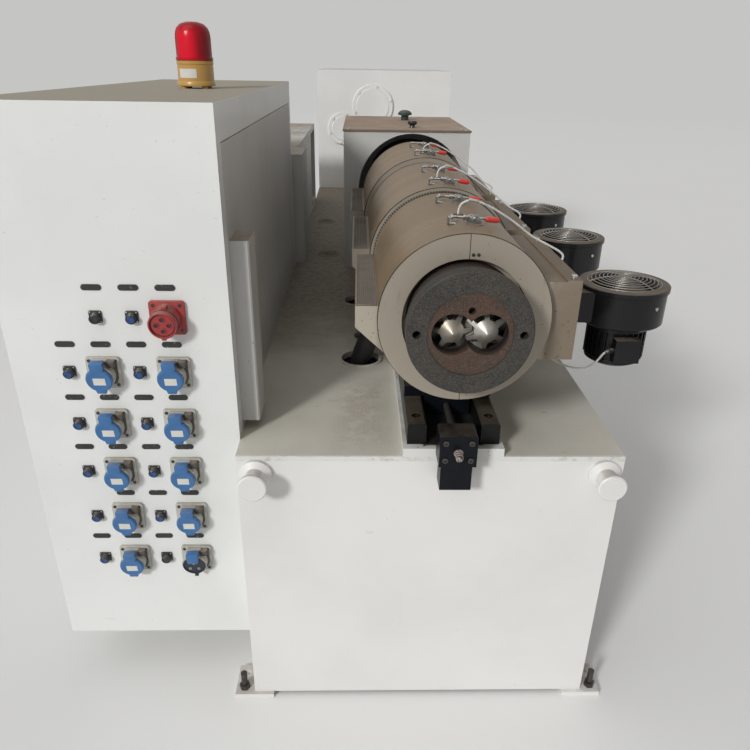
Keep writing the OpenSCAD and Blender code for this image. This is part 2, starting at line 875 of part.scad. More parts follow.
// Drum with a rolled rim and a dished inlet, and a spout to the duct
module fan_housing() {
  r = fan_d/2;
  reach = fan_x - inlet_out;
  difference() {
    union() {
      rotate_extrude($fn = 96) polygon([
        [0, -fan_h], [r - 8, -fan_h], [r - 4, -fan_h + 4], [r - 4, -14], [r, -12], [r, -2],
        [r - 2, 0], [0, 0]
      ]);
      translate([-reach, -spout_w/2, -fan_h + 8]) cube([reach - r/2, spout_w, spout_h]);
    }
    translate([0, 0, -fan_in]) cylinder(h = fan_in - 12, d = fan_inlet - 16, $fn = 96);
    translate([0, 0, -12]) cylinder(h = 12.01, d1 = fan_inlet - 16, d2 = fan_inlet, $fn = 96);
  }
}

module fan_housings() {
  color("black") for (i = [0 : 2]) at_fan(i) fan_housing();
}

// Raised guard: a hub disc and rings, half sunk into spokes that bend down to the rim
module fan_guard() {
  r = fan_inlet/2 + 10;
  flat = r - 2*guard_h;
  hub = 16;
  step = (flat - hub - wire_t)/(guard_rings - 1);
  up = guard_h - 1.5*wire_t;
  translate([0, 0, up + wire_t/2]) {
    cylinder(h = wire_t, r = hub, $fn = 48);
    for (k = [1 : guard_rings - 1]) difference() {
      cylinder(h = wire_t, r = hub + k*step + wire_t/2, $fn = 48);
      translate([0, 0, -1]) cylinder(h = wire_t + 2, r = hub + k*step - wire_t/2, $fn = 48);
    }
  }
  for (a = [0 : guard_spokes - 1]) rotate([0, 0, a*360/guard_spokes]) translate([0, wire_t/2, 0])
    rotate([90, 0, 0]) linear_extrude(wire_t) polygon([
      [hub/2, up], [flat, up], [r - wire_t, 0], [r, 0], [r, wire_t], [flat + 1, up + wire_t],
      [hub/2, up + wire_t]
    ]);
}

module fan_guards() {
  color("gray") for (i = [0 : 2]) at_fan(i) fan_guard();
}

// Finned stator hung below the drum, with end bells and a terminal box
module fan_motor() {
  r = motor_d/2;
  bell = 16;
  translate([0, 0, -fan_h - motor_h]) {
    translate([0, 0, bell]) linear_extrude(motor_h - 2*bell) {
      circle(r = r - fin_h, $fn = 64);
      for (a = [0 : motor_fins - 1]) rotate(a*360/motor_fins)
        translate([r - fin_h - 2, -fin_t/2]) square([fin_h + 2, fin_t]);
    }
    translate([0, 0, motor_h - bell]) cylinder(h = bell, d = motor_d, $fn = 64);
    rotate_extrude($fn = 64) polygon([
      [0, 0], [r - 18, 0], [r - 4, 8], [r - 4, bell], [0, bell]
    ]);
    translate([-term_w/2, -r - 22, bell + 8]) cube([term_w, 26, motor_h - 2*bell - 16]);
    translate([-term_w/2 - 8, -r - 8, bell + 34]) rotate([0, 90, 0]) cylinder(h = 9, d = 14, $fn = 24);
  }
}

module fan_motors() {
  color("black") for (i = [0 : 2]) at_fan(i) fan_motor();
}

// ---- Latches ----

// Local frame on a cover: X runs down to the right along the skin, Z stands off it
module at_latch(k) {
  behind(latch_y[k]) translate([axis_x, 0, axis_z]) rotate([0, latch_a, 0])
    translate([0, 0, cover_d[latch_c[k]]/2]) children();
}

// Hook block and pivot block on the skin, draw rod between them, lever to the right
module latch(r) {
  h = latch_l/2;
  w = latch_w/2;
  up = latch_up + 4;
  difference() {
    rotate([90, 0, 0]) translate([0, 0, -w]) linear_extrude(latch_w) {
      polygon([[-h + 4, -12], [-h + 26, -12], [-h + 26, 4], [-h + 14, up], [-h + 4, up]]);
      polygon([[0, -12], [24, -12], [24, 5], [17, up + 1], [7, up + 1], [0, 5]]);
    }
    translate([0, -latch_w, -r]) rotate([-90, 0, 0]) cylinder(h = 2*latch_w, r = r, $fn = 128);
  }
  translate([-h, 0, latch_up]) rotate([0, 90, 0]) cylinder(h = h + 4, d = latch_rod, $fn = 24);
  translate([14, 0, latch_up]) rotate([0, 90, 0]) cylinder(h = h - 14, d = latch_rod, $fn = 24);
}

module cover_latches() {
  color("silver") for (k = [0 : 5]) at_latch(k) latch(cover_d[latch_c[k]]/2);
}

// A probe lead's points, from its hole over the cover and down behind the right duct
function lead_route(y, r) = let(
  top = axis_z + r, side = inlet_x + lead_d/2 + lead_gap, duct_top = axis_z + inlet_up
) [
  [axis_x, y, top - 12 + seat], [axis_x, y, top + 10], [axis_x + 8, y - 1, top + 24],
  [axis_x + 30, y - 2, top + 29], [axis_x + 70, y + 4, top + 14],
  [axis_x + 120, y + 12, top - 16], [axis_x + 165, y + 14, top - 48],
  [axis_x + 205, y + 12, duct_top + 30], [inlet_x - 6, y + 12, duct_top + 19],
  [side + 2, y + 12, duct_top + 8], [side, y + 12, duct_top - 10],
  [side, y + 12, axis_z], [side, y + 12, axis_z - inlet_down + 20]
];

// The front motor's lead, from its terminal box down beside the slide pad
motor_route = let(x = axis_x + fan_x, z = fan_z - fan_h - motor_h, f = deck_z + lead_d/2 + lead_gap) [
  [x - term_w/2 - 8.3, fan_y1 - motor_d/2 - 8, z + 50],
  [x - term_w/2 - 20, fan_y1 - motor_d/2 - 8, z + 44],
  [x - 68, fan_y1 - 76, z + 18], [x - 94, fan_y1 - 70, z + 2], [x - 135, fan_y1 - 60, z + 6],
  [x - 180, fan_y1 - 44, z + 26], [x - 225, fan_y1 - 20, z + 30], [x - 262, fan_y1 + 20, z - 6],
  [x - 284, fan_y1 + 70, z - 56], [x - 290, fan_y1 + 110, f + 8], [x - 290, fan_y1 + 150, f],
  [x - 290, fan_y1 + 220, f]
];

// Point between b and c on the smooth line through a, b, c and d
function between(a, b, c, d, t) =
  (2*b + (c - a)*t + (2*a - 5*b + 4*c - d)*t*t + (3*b - a - 3*c + d)*t*t*t)/2;

// The smooth line through a route's points, each stretch in k steps
function smooth(p, k) = let(n = len(p)) [
  for (i = [0 : n - 2]) for (j = [0 : k - 1])
    between(p[max(i - 1, 0)], p[i], p[i + 1], p[min(i + 2, n - 1)], j/k),
  p[n - 1]
];

// Sweeps an eight-sided tube along a route
module tube(points, d) {
  route = smooth(points, 4);
  n = len(route);
  m = 8;
  function dir(i) = let(v = route[min(i + 1, n - 1)] - route[max(i - 1, 0)]) v/norm(v);
  function across(i) = let(v = cross(dir(i), [1, 1, 0])) v/norm(v);
  rings = [for (i = [0 : n - 1]) for (a = [0 : m - 1])
    let(u = across(i), w = cross(dir(i), u))
    route[i] + d/2*(cos(a*360/m)*u + sin(a*360/m)*w)];
  polyhedron(rings, concat(
    [[for (a = [0 : m - 1]) a]],
    [for (i = [0 : n - 2]) for (a = [0 : m - 1])
      [i*m + a, (i + 1)*m + a, (i + 1)*m + (a + 1)%m, i*m + (a + 1)%m]],
    [[for (a = [m - 1 : -1 : 0]) (n - 1)*m + a]]), convexity = 6);
}

module probe_lead(i) {
  color("ghostwhite") behind(0) tube(lead_route(probe_y[i], cover_d[i]/2), lead_d);
}

module probe_lead_1() {
  probe_lead(0);
}

module probe_lead_2() {
  probe_lead(1);
}

module probe_lead_3() {
  probe_lead(2);
}

module motor_lead() {
  color("ghostwhite") behind(0) tube(motor_route, lead_d);
}

// Clips that take the leads' ends: three on the right ducts, one on the deck
module lead_clips() {
  w = clip_w;
  reach = lead_d + lead_gap + 4;
  color("black") {
    for (i = [0 : 2]) behind(probe_y[i] + 12 - w/2)
      translate([inlet_x, 0, axis_z - inlet_down + 20 - w]) cube([reach, w, w]);
    behind(fan_y1 + 220) translate([axis_x + fan_x - 290 - w/2, 0, deck_z]) cube([w, w, reach]);
  }
}

// Flexible hose that rises through the first deck opening to the cover's underside
module air_hose() {
  p = hose_hole[0];
  color("dimgray") difference() {
    behind(p[1]) translate([p[0] + 5, 0, deck_z - 40]) rotate([0, 14, 0])
      cylinder(h = 250, d = hose_d, $fn = 48);
    on_axis(cov_y2 - band_l1) cylinder(h = cover_l2 + 200, d = cover_d2 + 2*seat, $fn = 96);
  }
}

module latch_sleeves() {
  color("red") for (k = [0 : 5]) at_latch(k) translate([latch_l/2 - sleeve_l + 8, 0, latch_up])
    rotate([0, 90, 0]) difference() {
      cylinder(h = sleeve_l, d = sleeve_d, $fn = 32);
      translate([0, 0, -1]) cylinder(h = sleeve_l - 7, d = latch_rod + 0.2, $fn = 24);
    }
}

// ---- Feed and drive housings ----

// Closed housing whose front is an arch round the barrel; its bulkhead carries the screws
module feed_housing() {
  color("gainsboro") difference() {
    behind(feed_y) translate([feed_x - feed_w/2, 0, deck_z]) cube([feed_w, feed_l, feed_h]);
    along(feed_y - 1, arch_l + 1) translate([axis_x, axis_z]) {
      circle(d = arch_d, $fn = 128);
      translate([-arch_d/2, -axis_h - 1]) square([arch_d, axis_h + 1]);
    }
    for (s = [-1, 1]) on_screw(s) translate([0, 0, screw_end - 10])
      cylinder(h = journal_l + 15, d = journal_d + 2*seat);
  }
}

module feed_lid() {
  color("rosybrown") behind(feed_y - lid_out)
    translate([feed_x - feed_w/2 - lid_out, 0, deck_z + feed_h])
    cube([feed_w + 2*lid_out, feed_l + lid_out, lid_t]);
}

module lid_knob() {
  r = knob_d/2;
  color("black") behind(feed_y + 130) translate([axis_x + 5, 0, lid_z])
    rotate_extrude($fn = 48) polygon([
      [0, 0], [r - 8, 0], [r - 10, 8], [r - 2, 14], [r, 20], [r - 4, 26], [0, 28]
    ]);
}

module breather_cap() {
  r = breather_d/2;
  color("darkgreen") behind(feed_y + 520) translate([axis_x - 2, 0, lid_z])
    rotate_extrude($fn = 48) polygon([
      [0, 0], [r - 14, 0], [r - 14, 20], [r, 22], [r, 30], [r - 8, 38], [r - 20, 42], [0, 43]
    ]);
}

// Cast box with a flanged split line half way up
module distribution_gearbox() {
  w = dist_w/2;
  m = dist_h/2;
  color("gainsboro") along(dist_y, dist_l) translate([axis_x, deck_z]) polygon([
    [-w - 15, 0], [w + 15, 0], [w + 15, 20], [w, 20], [w, m - 15], [w + 12, m - 15],
    [w + 12, m + 15], [w, m + 15], [w, dist_h - 20], [w - 20, dist_h], [20 - w, dist_h],
    [-w, dist_h - 20], [-w, m + 15], [-w - 12, m + 15], [-w - 12, m - 15], [-w, m - 15],
    [-w, 20], [-w - 15, 20]
  ]);
}

// Bent sheet tunnel over the coupling
module coupling_guard() {
  w = guard_w/2;
  color("gainsboro") along(dist_y + dist_l, gear_y - dist_y - dist_l)
    translate([axis_x, deck_z]) difference() {
      union() {
        translate([-w, 0]) square([guard_w, guard_top - w]);
        translate([0, guard_top - w]) circle(r = w, $fn = 96);
      }
      translate([guard_t - w, -1]) square([guard_w - 2*guard_t, guard_top - w + 1]);
      translate([0, guard_top - w]) circle(r = w - guard_t, $fn = 96);
    }
}

module gearbox_housing() {
  color("whitesmoke") behind(gear_y) translate([-base_w/2, 0, deck_z])
    cube([base_w, base_l - gear_y, gear_h]);
}

// Stepped round covers bolted to the gearbox's face
module bearing_cover(d, x, z) {
  behind(gear_y) translate([x, 0, z]) rotate([90, 0, 0]) rotate_extrude($fn = 96) polygon([
    [0, 0], [d/2, 0], [d/2, cap_t - 4], [d/2 - 4, cap_t], [d/2 - 26, cap_t],
    [d/2 - 30, cap_t + 5], [0, cap_t + 5]
  ]);
}

module bearing_covers() {
  color("whitesmoke") {
    bearing_cover(cap_d1, -72, deck_z + 518);
    bearing_cover(cap_d2, -263, deck_z + 380);
  }
}

// ---- Cabinets ----

// Folded box with a shallow recess on its right side for the door
module control_cabinet() {
  color("whitesmoke") difference() {
    behind(cab_y) translate([cab_x - cab_w, 0, cab_z]) cube([cab_w, cab_l, cab_h]);
    behind(cab_y + door_y) translate([cab_x - door_t, 0, cab_z + 40])
      cube([door_t + 1, cab_l - 2*door_y, cab_h - door_top - 40]);
  }
}

module cabinet_door() {
  color("gainsboro") behind(cab_y + door_y + seam)
    translate([cab_x - door_t, 0, cab_z + 40 + seam])
    cube([door_t, cab_l - 2*door_y - 2*seam, cab_h - door_top - 40 - 2*seam]);
}

module cabinet_riser() {
  c = 3;
  color("gainsboro") behind(cab_y + door_y + seam + 4) translate([cab_x, 0, deck_z + 24])
    linear_extrude(riser_h) polygon([
      [0, 0], [riser_d - c, 0], [riser_d, c], [riser_d, riser_w - c], [riser_d - c, riser_w],
      [0, riser_w]
    ]);
}

// Box beside the base that steps over the deck's edge at its front, with an open recess
module rear_cabinet() {
  color("gainsboro") {
    difference() {
      behind(rear_y) translate([cab_x - cab_w, 0, cab_z]) cube([cab_w, rear_l, rear_h - cab_z]);
      behind(chan_y) translate([cab_x - chan_w, 0, deck_z + chan_up])
        cube([chan_w + 1, chan_l, chan_h]);
    }
    behind(rear_y) translate([cab_x, 0, deck_z]) cube([riser_d, step_l, rear_h - deck_z]);
  }
}

// Thin sheet frame that lines the recess
module cable_channel() {
  color("white") behind(chan_y) translate([cab_x - chan_w, 0, deck_z + chan_up])
    rotate([90, 0, 90]) linear_extrude(chan_w) difference() {
      square([chan_l, chan_h]);
      translate([chan_t, chan_t]) square([chan_l - 2*chan_t, chan_h - 2*chan_t]);
    }
}

// ---- Socket panel ----

panel_x = cab_x - cab_w + plate_x;
plate_at = [
  for (j = [0 : 5]) for (i = [0 : 3]) if (!(j == 0 && i == 0) && !(j == 4 && i == 0)) [i, j]
];
conn_at = [[1, 0], [2, 0], for (j = [1 : 5]) for (i = [0, 2]) [i, j]];
sock_at = [for (j = [1 : 5]) for (i = [1, 3]) [i, j]];

// Drawn with X across the panel, Y up it and Z out of it
module on_panel(p, drop) {
  behind(cab_y) translate([panel_x + p[0]*plate_px, 0, plate_z - p[1]*plate_pz - drop])
    rotate([90, 0, 0]) children();
}

module name_plates() {
  color("black") for (p = plate_at) on_panel(p, 0) linear_extrude(1.5) {
    translate([-(plate_w - plate_h)/2, 0]) circle(d = plate_h, $fn = 24);
    translate([(plate_w - plate_h)/2, 0]) circle(d = plate_h, $fn = 24);
    square([plate_w - plate_h, plate_h], center = true);
  }
}

module small_connectors() {
  color("midnightblue") for (p = conn_at) on_panel(p, socket_drop) {
    linear_extrude(3) square([conn_d + 6, conn_d + 6], center = true);
    translate([0, 0, 3]) cylinder(h = 14, d = conn_d, $fn = 32);
    translate([0, 0, 17]) cylinder(h = 8, d1 = conn_d - 3, d2 = conn_d - 7, $fn = 32);
  }
}

module rounded_plate(w, r, t) {
  linear_extrude(t) {
    square([w, w - 2*r], center = true);
    square([w - 2*r, w], center = true);
    for (x = [-1, 1]) for (y = [-1, 1]) translate([x*(w/2 - r), y*(w/2 - r)]) circle(r, $fn = 24);
  }
}

module socket_flanges() {
  color("lightgray") for (p = sock_at) on_panel(p, socket_drop) rounded_plate(socket_w, 6, socket_t);
}

// Socket body with a hinged lid, closed; the last one is open
module blue_socket(open) {
  translate([0, 0, socket_t]) cylinder(h = 24, d = socket_d, $fn = 48);
  if (!open) {
    translate([0, 0, socket_t + 24]) cylinder(h = 9, d1 = socket_d + 4, d2 = socket_d - 4, $fn = 48);
    translate([-socket_d/4, socket_d/2 - 6, socket_t]) cube([socket_d/2, 14, 30]);
  }
  translate([-socket_d/6, -socket_d/2 - 8, socket_t]) cube([socket_d/3, 12, 22]);
}

module blue_sockets() {
  color("royalblue") for (p = sock_at) on_panel(p, socket_drop) blue_socket(p[0] == 3 && p[1] == 5);
}

// Square flange and a round body with four pin holes
module red_socket() {
  color("firebrick") on_panel([3, 0], socket_drop) difference() {
    union() {
      rounded_plate(socket_w + 2, 8, socket_t);
      translate([0, 0, socket_t]) cylinder(h = 34, d1 = socket_d + 4, d2 = socket_d, $fn = 48);
    }
    translate([0, 0, socket_t + 8]) cylinder(h = 30, d = socket_d - 8, $fn = 48);
    for (a = [45 : 90 : 315]) rotate([0, 0, a]) translate([13, 0, socket_t - 2])
      cylinder(h = 20, d = 8, $fn = 24);
  }
}

// ---- Beacon ----

module at_beacon() {
  behind(beacon_y) translate([cab_x - beacon_x, 0, cab_z + cab_h]) children();
}

module beacon_base() {
  r = beacon_d/2;
  color("gold") at_beacon() {
    for (a = [45 : 90 : 315]) rotate([0, 0, a]) translate([r - 12, 0, 0])
      cylinder(h = 6, d = 16, $fn = 24);
    translate([0, 0, 6]) rotate_extrude($fn = 64) polygon([
      [0, 0], [r, 0], [r, 10], [r - 4, 14], [r - 8, beacon_h - 12], [r - 8, beacon_h - 6], [0, beacon_h - 6]
    ]);
  }
}

// Dome on a collar, fluted up its sides
module beacon_lens() {
  r = beacon_d/2 - 9;
  n = 24;
  w = 2;
  color("red") at_beacon() translate([0, 0, beacon_h]) difference() {
    rotate_extrude($fn = 64) polygon(concat(
      [[0, 0], [r, 0], [r, 7], [r - 2, 9]],
      [for (t = [0 : 15 : 90]) [(r - 2)*cos(t), lens_h*0.63 + lens_h*0.37*sin(t)]]
    ));
    for (a = [0 : n - 1]) rotate([0, 0, a*360/n]) translate([r - 2 - w/4, 0, 14])
      linear_extrude(lens_h*0.45) polygon([[0, 0], [w, w/2], [w, -w/2]]);
  }
}

base_front_panel();
base_rear_panel();
base_left_panel();
base_right_panel();
deck_plate();
foot_plates();
levelling_bolts();
lifting_bollards();
slide_pad();
slide_rails();
adjuster_block();
adjuster_rod();
barrel_carriage();
barrel();
head_flange();
head_insert();
screw_left();
screw_right();
end_ring();
heater_cover_1();
heater_cover_2();
heater_cover_3();
cover_bands();
outlet_ducts();
outlet_grilles();
inlet_ducts();
inlet_strips();
fan_housings();
fan_guards();
fan_motors();
cover_latches();
latch_sleeves();
probe_lead_1();
probe_lead_2();
probe_lead_3();
motor_lead();
lead_clips();
air_hose();
feed_housing();
feed_lid();
lid_knob();
breather_cap();
distribution_gearbox();
coupling_guard();
gearbox_housing();
bearing_covers();
control_cabinet();
cabinet_door();
cabinet_riser();
rear_cabinet();
cable_channel();
name_plates();
small_connectors();
socket_flanges();
blue_sockets();
red_socket();
beacon_base();
beacon_lens();
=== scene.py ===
"""Looks of a conical twin-screw plastic extruder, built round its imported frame."""
import json
import math

import bmesh
import bpy
from mathutils import Matrix, Vector


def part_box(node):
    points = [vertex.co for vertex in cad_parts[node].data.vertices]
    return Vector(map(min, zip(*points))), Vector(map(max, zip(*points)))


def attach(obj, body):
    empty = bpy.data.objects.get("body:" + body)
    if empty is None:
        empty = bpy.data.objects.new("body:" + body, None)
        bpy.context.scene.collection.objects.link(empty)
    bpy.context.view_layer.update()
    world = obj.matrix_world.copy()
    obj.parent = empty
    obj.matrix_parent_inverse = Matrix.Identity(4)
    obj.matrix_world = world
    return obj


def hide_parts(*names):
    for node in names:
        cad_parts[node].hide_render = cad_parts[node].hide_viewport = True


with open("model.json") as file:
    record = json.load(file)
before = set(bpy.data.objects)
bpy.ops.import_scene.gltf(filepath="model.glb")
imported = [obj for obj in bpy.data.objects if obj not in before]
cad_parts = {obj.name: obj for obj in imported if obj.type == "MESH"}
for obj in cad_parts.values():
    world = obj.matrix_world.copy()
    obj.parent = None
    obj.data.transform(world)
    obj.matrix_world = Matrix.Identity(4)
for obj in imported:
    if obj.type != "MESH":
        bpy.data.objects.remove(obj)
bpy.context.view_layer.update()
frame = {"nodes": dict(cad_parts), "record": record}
nodes = frame["nodes"]

# Sizes of the machine in millimetres: X from the middle of the base, Y from the front of
# the base, Z from the floor.
BASE_L = 4450
DECK = 730
ROD_Z = DECK + 44
AXIS_X, AXIS_Z = 48, 1050
COVER_R = (172, 182, 192)
DUCT_Y = (9, 470, 970)
DUCT_L = (401, 410, 430)
INLET_X = 280
FAN_X, FAN_Y, FAN_Z = 464, (264, 740, 1150), 1051
# Latches and probes: how far back each stands, and on which cover.
LATCHES = ((84, 0), (315, 0), (508, 1), (730, 1), (1026, 2), (1250, 2))
LATCH_TILT = 5
PROBES = ((170, 0), (610, 1), (1065, 2))
LID_TOP = 1272
BEARING_FACE = 3526
BEARINGS = ((-72, 1248, 120), (-263, 1110, 89))
BEACON_X, BEACON_Y, BEACON_FOOT = -601, 750, 1438
# The socket panel is a grid of columns and rows, counted from its upper left corner.
PANEL_X, PANEL_Y, PANEL_TOP = -783, 73, 1024
COLUMN, ROW = 75, 125
SOCKETS = [(i, j) for j in range(1, 6) for i in (1, 3)]
OPEN_SOCKET = (3, 5)
RED_SOCKET = (3, 0)
CONNECTORS = [(1, 0), (2, 0)] + [(i, j) for j in range(1, 6) for i in (0, 2)]
GREY_CONNECTORS = ((1, 0), (2, 5))

FRONT = -BASE_L / 2000  # the base's front face in metres
RIGHT, AHEAD, UP = (1, 0, 0), (0, -1, 0), (0, 0, 1)
CORNERS = [(sx, sy) for sx in (-1, 1) for sy in (-1, 1)]


def at(x, y, z):
    """A point of the machine in the row frame, in metres."""
    return Vector((x / 1000, (y - BASE_L / 2) / 1000, z / 1000))


def spun(degrees, axis):
    return Matrix.Rotation(math.radians(degrees), 4, axis)


def shifted(x, y=0, z=0):
    return Matrix.Translation((x, y, z))


def around(count, r=1, first=0):
    """Points evenly round a circle, the first at an angle in degrees."""
    angles = [math.radians(first) + 2 * math.pi * k / count for k in range(count)]
    return [(r * math.cos(a), r * math.sin(a)) for a in angles]


def shown(name, data):
    """An object of the scene with this mesh, curve, lamp or camera."""
    made = bpy.data.objects.new(name, data)
    bpy.context.scene.collection.objects.link(made)
    return made


# ---- Camera ----

def set_camera():
    """A camera at hand-held height in front of the discharge end."""
    data = bpy.data.cameras.new("camera")
    camera = shown("camera", data)
    turn = spun(-1.6, "Z") @ spun(90 - 25.6, "X") @ spun(0.9, "Z")
    camera.matrix_world = shifted(-0.163, -3.515, 1.51) @ turn
    data.sensor_width = 36
    data.lens = 32.9
    data.shift_y = 0.02
    data.clip_end = 200
    bpy.context.scene.camera = camera


set_camera()

# ---- Node trees ----


def pick(sockets, key):
    """A socket by its place, identifier or name."""
    if isinstance(key, int):
        return sockets[key]
    return next((s for s in sockets if s.identifier == key), None) or sockets[key]


class Tree:
    """A node tree; node() is the one way by which nodes are made."""

    def __init__(self, tree):
        self.tree = tree

    def node(self, kind, settings=None, sockets=None):
        made = self.tree.nodes.new(kind)
        for key, value in (settings or {}).items():
            setattr(made, key, value)
        for key, value in (sockets or {}).items():
            socket = pick(made.inputs, key)
            if isinstance(value, Value):
                self.tree.links.new(value.socket, socket)
            elif isinstance(value, bpy.types.NodeSocket):
                self.tree.links.new(value, socket)
            elif socket.type == "RGBA" and len(value) == 3:
                socket.default_value = (*value, 1)
            else:
                socket.default_value = value
        return made

    def value(self, kind, settings, sockets, out=0):
        return Value(self, pick(self.node(kind, settings, sockets).outputs, out))

    def watched(self):
        """1 where the camera or a reflection looks, 0 for light on the machine."""
        path = self.node("ShaderNodeLightPath").outputs
        return Value(self, path["Is Camera Ray"]).math("MAXIMUM", path["Is Glossy Ray"])


class Value:
    """A number on a surface. Arithmetic on it adds Math nodes."""

    def __init__(self, tree, socket):
        self.tree = tree
        self.socket = socket

    def math(self, operation, *others, first=False):
        terms = others + (self,) if first else (self,) + others
        return self.tree.value("ShaderNodeMath", {"operation": operation}, dict(enumerate(terms)))

    def __add__(self, other):
        return self.math("ADD", other)

    def __mul__(self, other):
        return self.math("MULTIPLY", other)

    def __sub__(self, other):
        return self.math("SUBTRACT", other)

    def __truediv__(self, other):
        return self.math("DIVIDE", other)

    def __rsub__(self, other):
        return self.math("SUBTRACT", other, first=True)

    def __rtruediv__(self, other):
        return self.math("DIVIDE", other, first=True)

    __radd__ = __add__
    __rmul__ = __mul__

    def between(self, low, high):
        """0 below low, 1 above high, and smooth between them."""
        return self.tree.value("ShaderNodeMapRange", {"interpolation_type": "SMOOTHSTEP"},
                               {"Value": self, "From Min": low, "From Max": high})

    def band(self, low, high, soft):
        """1 from low to high, fading over soft outside them."""
        return self.between(low - soft, low) * (1 - self.between(high, high + soft))


class Look(Tree):
    """A material whose maths is written on the surface's own coordinates, in metres."""

    def __init__(self, name):
        self.name = name
        self.material = bpy.data.materials.new(name)
        self.material.use_nodes = True
        super().__init__(self.material.node_tree)
        self.tree.nodes.clear()
        self.spot = self.node("ShaderNodeTexCoord").outputs["Object"]
        self.x, self.y, self.z = self.split(self.spot)

    def split(self, vector):
        parts = self.node("ShaderNodeSeparateXYZ", None, {0: vector}).outputs
        return [Value(self, part) for part in parts]

    def facing(self, axis=2):
        """How far the surface faces along an axis, from -1 to 1."""
        return self.split(self.node("ShaderNodeNewGeometry").outputs["Normal"])[axis]

    def noise(self, scale, detail, rough=0.55, stretch=(1, 1, 1), shift=(0, 0, 0)):
        spot = self.spot
        if stretch != (1, 1, 1) or shift != (0, 0, 0):
            spot = self.value("ShaderNodeMapping", None,
                              {"Vector": spot, "Scale": stretch, "Location": shift})
        return self.value("ShaderNodeTexNoise", None, {
            "Vector": spot, "Scale": scale, "Detail": detail, "Roughness": rough})

    def mix(self, share, a, b):
        made = self.node("ShaderNodeMix", {"data_type": "RGBA"},
                         {"Factor_Float": share, "A_Color": a, "B_Color": b})
        return pick(made.outputs, "Result_Color")

    def coats(self, tone, *coats):
        """Lays coats over a tone, each a share and a colour."""
        for share, colour in coats:
            tone = self.mix(share, tone, colour)
        return tone

    def skin(self, tone, rough, relief, depth, strength, **more):
        """The surface's shader; names in more are its sockets, with _ for a space."""
        bump = self.node("ShaderNodeBump", None, {
            "Height": relief, "Distance": depth, "Strength": strength})
        return self.node("ShaderNodeBsdfPrincipled", None, {
            "Base Color": tone, "Roughness": rough, "Normal": bump.outputs[0],
            **{name.replace("_", " "): value for name, value in more.items()}}).outputs[0]

    def done(self, *surface, **more):
        """Ends the tree in a surface, and gives the finish's name and material."""
        shader = self.skin(*surface, **more)
        self.node("ShaderNodeOutputMaterial", None, {"Surface": shader})
        return self.name, self.material


# ---- Finishes ----

DUST = (0.30, 0.245, 0.185)
RUST = (0.16, 0.062, 0.025)


def dim(colour, share):
    return [c * share for c in colour]


def painted(name, colour, rough, dust, dust_colour=DUST, scuffs=0.5, sheen=0.0, bare=0.42):
    """Sprayed sheet metal: orange peel, slow tint changes, dust on tops and a few scuffs."""
    look = Look(name)
    cloud = look.noise(2.3, 4)
    fine = look.noise(38, 4, 0.6)
    lying = look.facing().between(0.55, 0.95)
    settled = lying * (cloud * 0.9 + fine * 0.5).between(bare, bare + 0.43) * dust
    rub = look.noise(9, 5, 0.7, (1, 0.35, 2.2), (3, 1, 7)).between(0.66, 0.74)
    specks = look.noise(120, 2, 0.5, shift=(5, 2, 9)).between(0.71, 0.76)
    marks = (rub * 0.35 + specks * 0.8) * scuffs
    tone = look.coats(colour, (cloud.between(0.35, 0.7), dim(colour, 0.92)),
                      (settled, dust_colour), (marks, (0.10, 0.085, 0.07)))
    peel = look.noise(260, 2) * 0.5 + fine * 0.5
    return look.done(tone, settled * 0.35 + marks * 0.25 + (fine * 0.12 + rough),
                     peel, 0.0006, 0.25, Coat_Weight=(1 - settled) * sheen)


def deck_finish():
    """Deck paint, pale at the front edge, brown with trodden dust and rust spatter behind; that
    brown is partly dirt and partly painted shade.
    """
    look = Look("deck_paint")
    cloud = look.noise(3.2, 5, 0.6)
    fine = look.noise(45, 5, 0.65)
    grain = look.noise(420, 2)
    pale = look.mix(cloud.between(0.3, 0.7), (0.62, 0.595, 0.52), (0.54, 0.515, 0.445))
    # Behind the front edge the deck turns brown: partly trodden dirt, partly painted shade where
    # the cabinet would shadow it.
    grubby_and_shaded = look.mix(fine.between(0.35, 0.7), (0.20, 0.165, 0.125), (0.12, 0.095, 0.07))
    back = (look.y + cloud * 0.45).between(FRONT + 0.50, FRONT + 1.30)
    walked = look.x.band(-0.175, -0.135, 0.07) * look.y.band(FRONT + 0.13, FRONT + 0.32, 0.14)
    trail = walked * look.noise(26, 4, 0.6).between(0.34, 0.56)
    trail = trail + look.noise(4.2, 3, 0.6, (1, 0.6, 1), (1, 8, 0)).between(0.46, 0.64) * 0.3
    spatter = look.noise(300, 3, 0.7, shift=(4, 4, 0)).between(0.52, 0.62) * trail
    streak = look.noise(16, 5, 0.7, (0.5, 2.5, 1), (2, 2, 0)).between(0.66, 0.72)
    lip = (1 - look.y.between(FRONT + 0.001, FRONT + 0.009)) * fine.between(0.32, 0.5)
    tone = look.coats(
        pale, (back * look.facing().between(0.3, 0.9) * 0.92, grubby_and_shaded),
        (trail * 0.18, (0.33, 0.26, 0.19)), (spatter * 0.6, (0.20, 0.10, 0.055)),
        (streak * 0.5, (0.11, 0.09, 0.07)), (lip * 0.9, (0.70, 0.70, 0.68)))
    return look.done(tone, fine * 0.2 + 0.6, grain + spatter, 0.0004, 0.3)


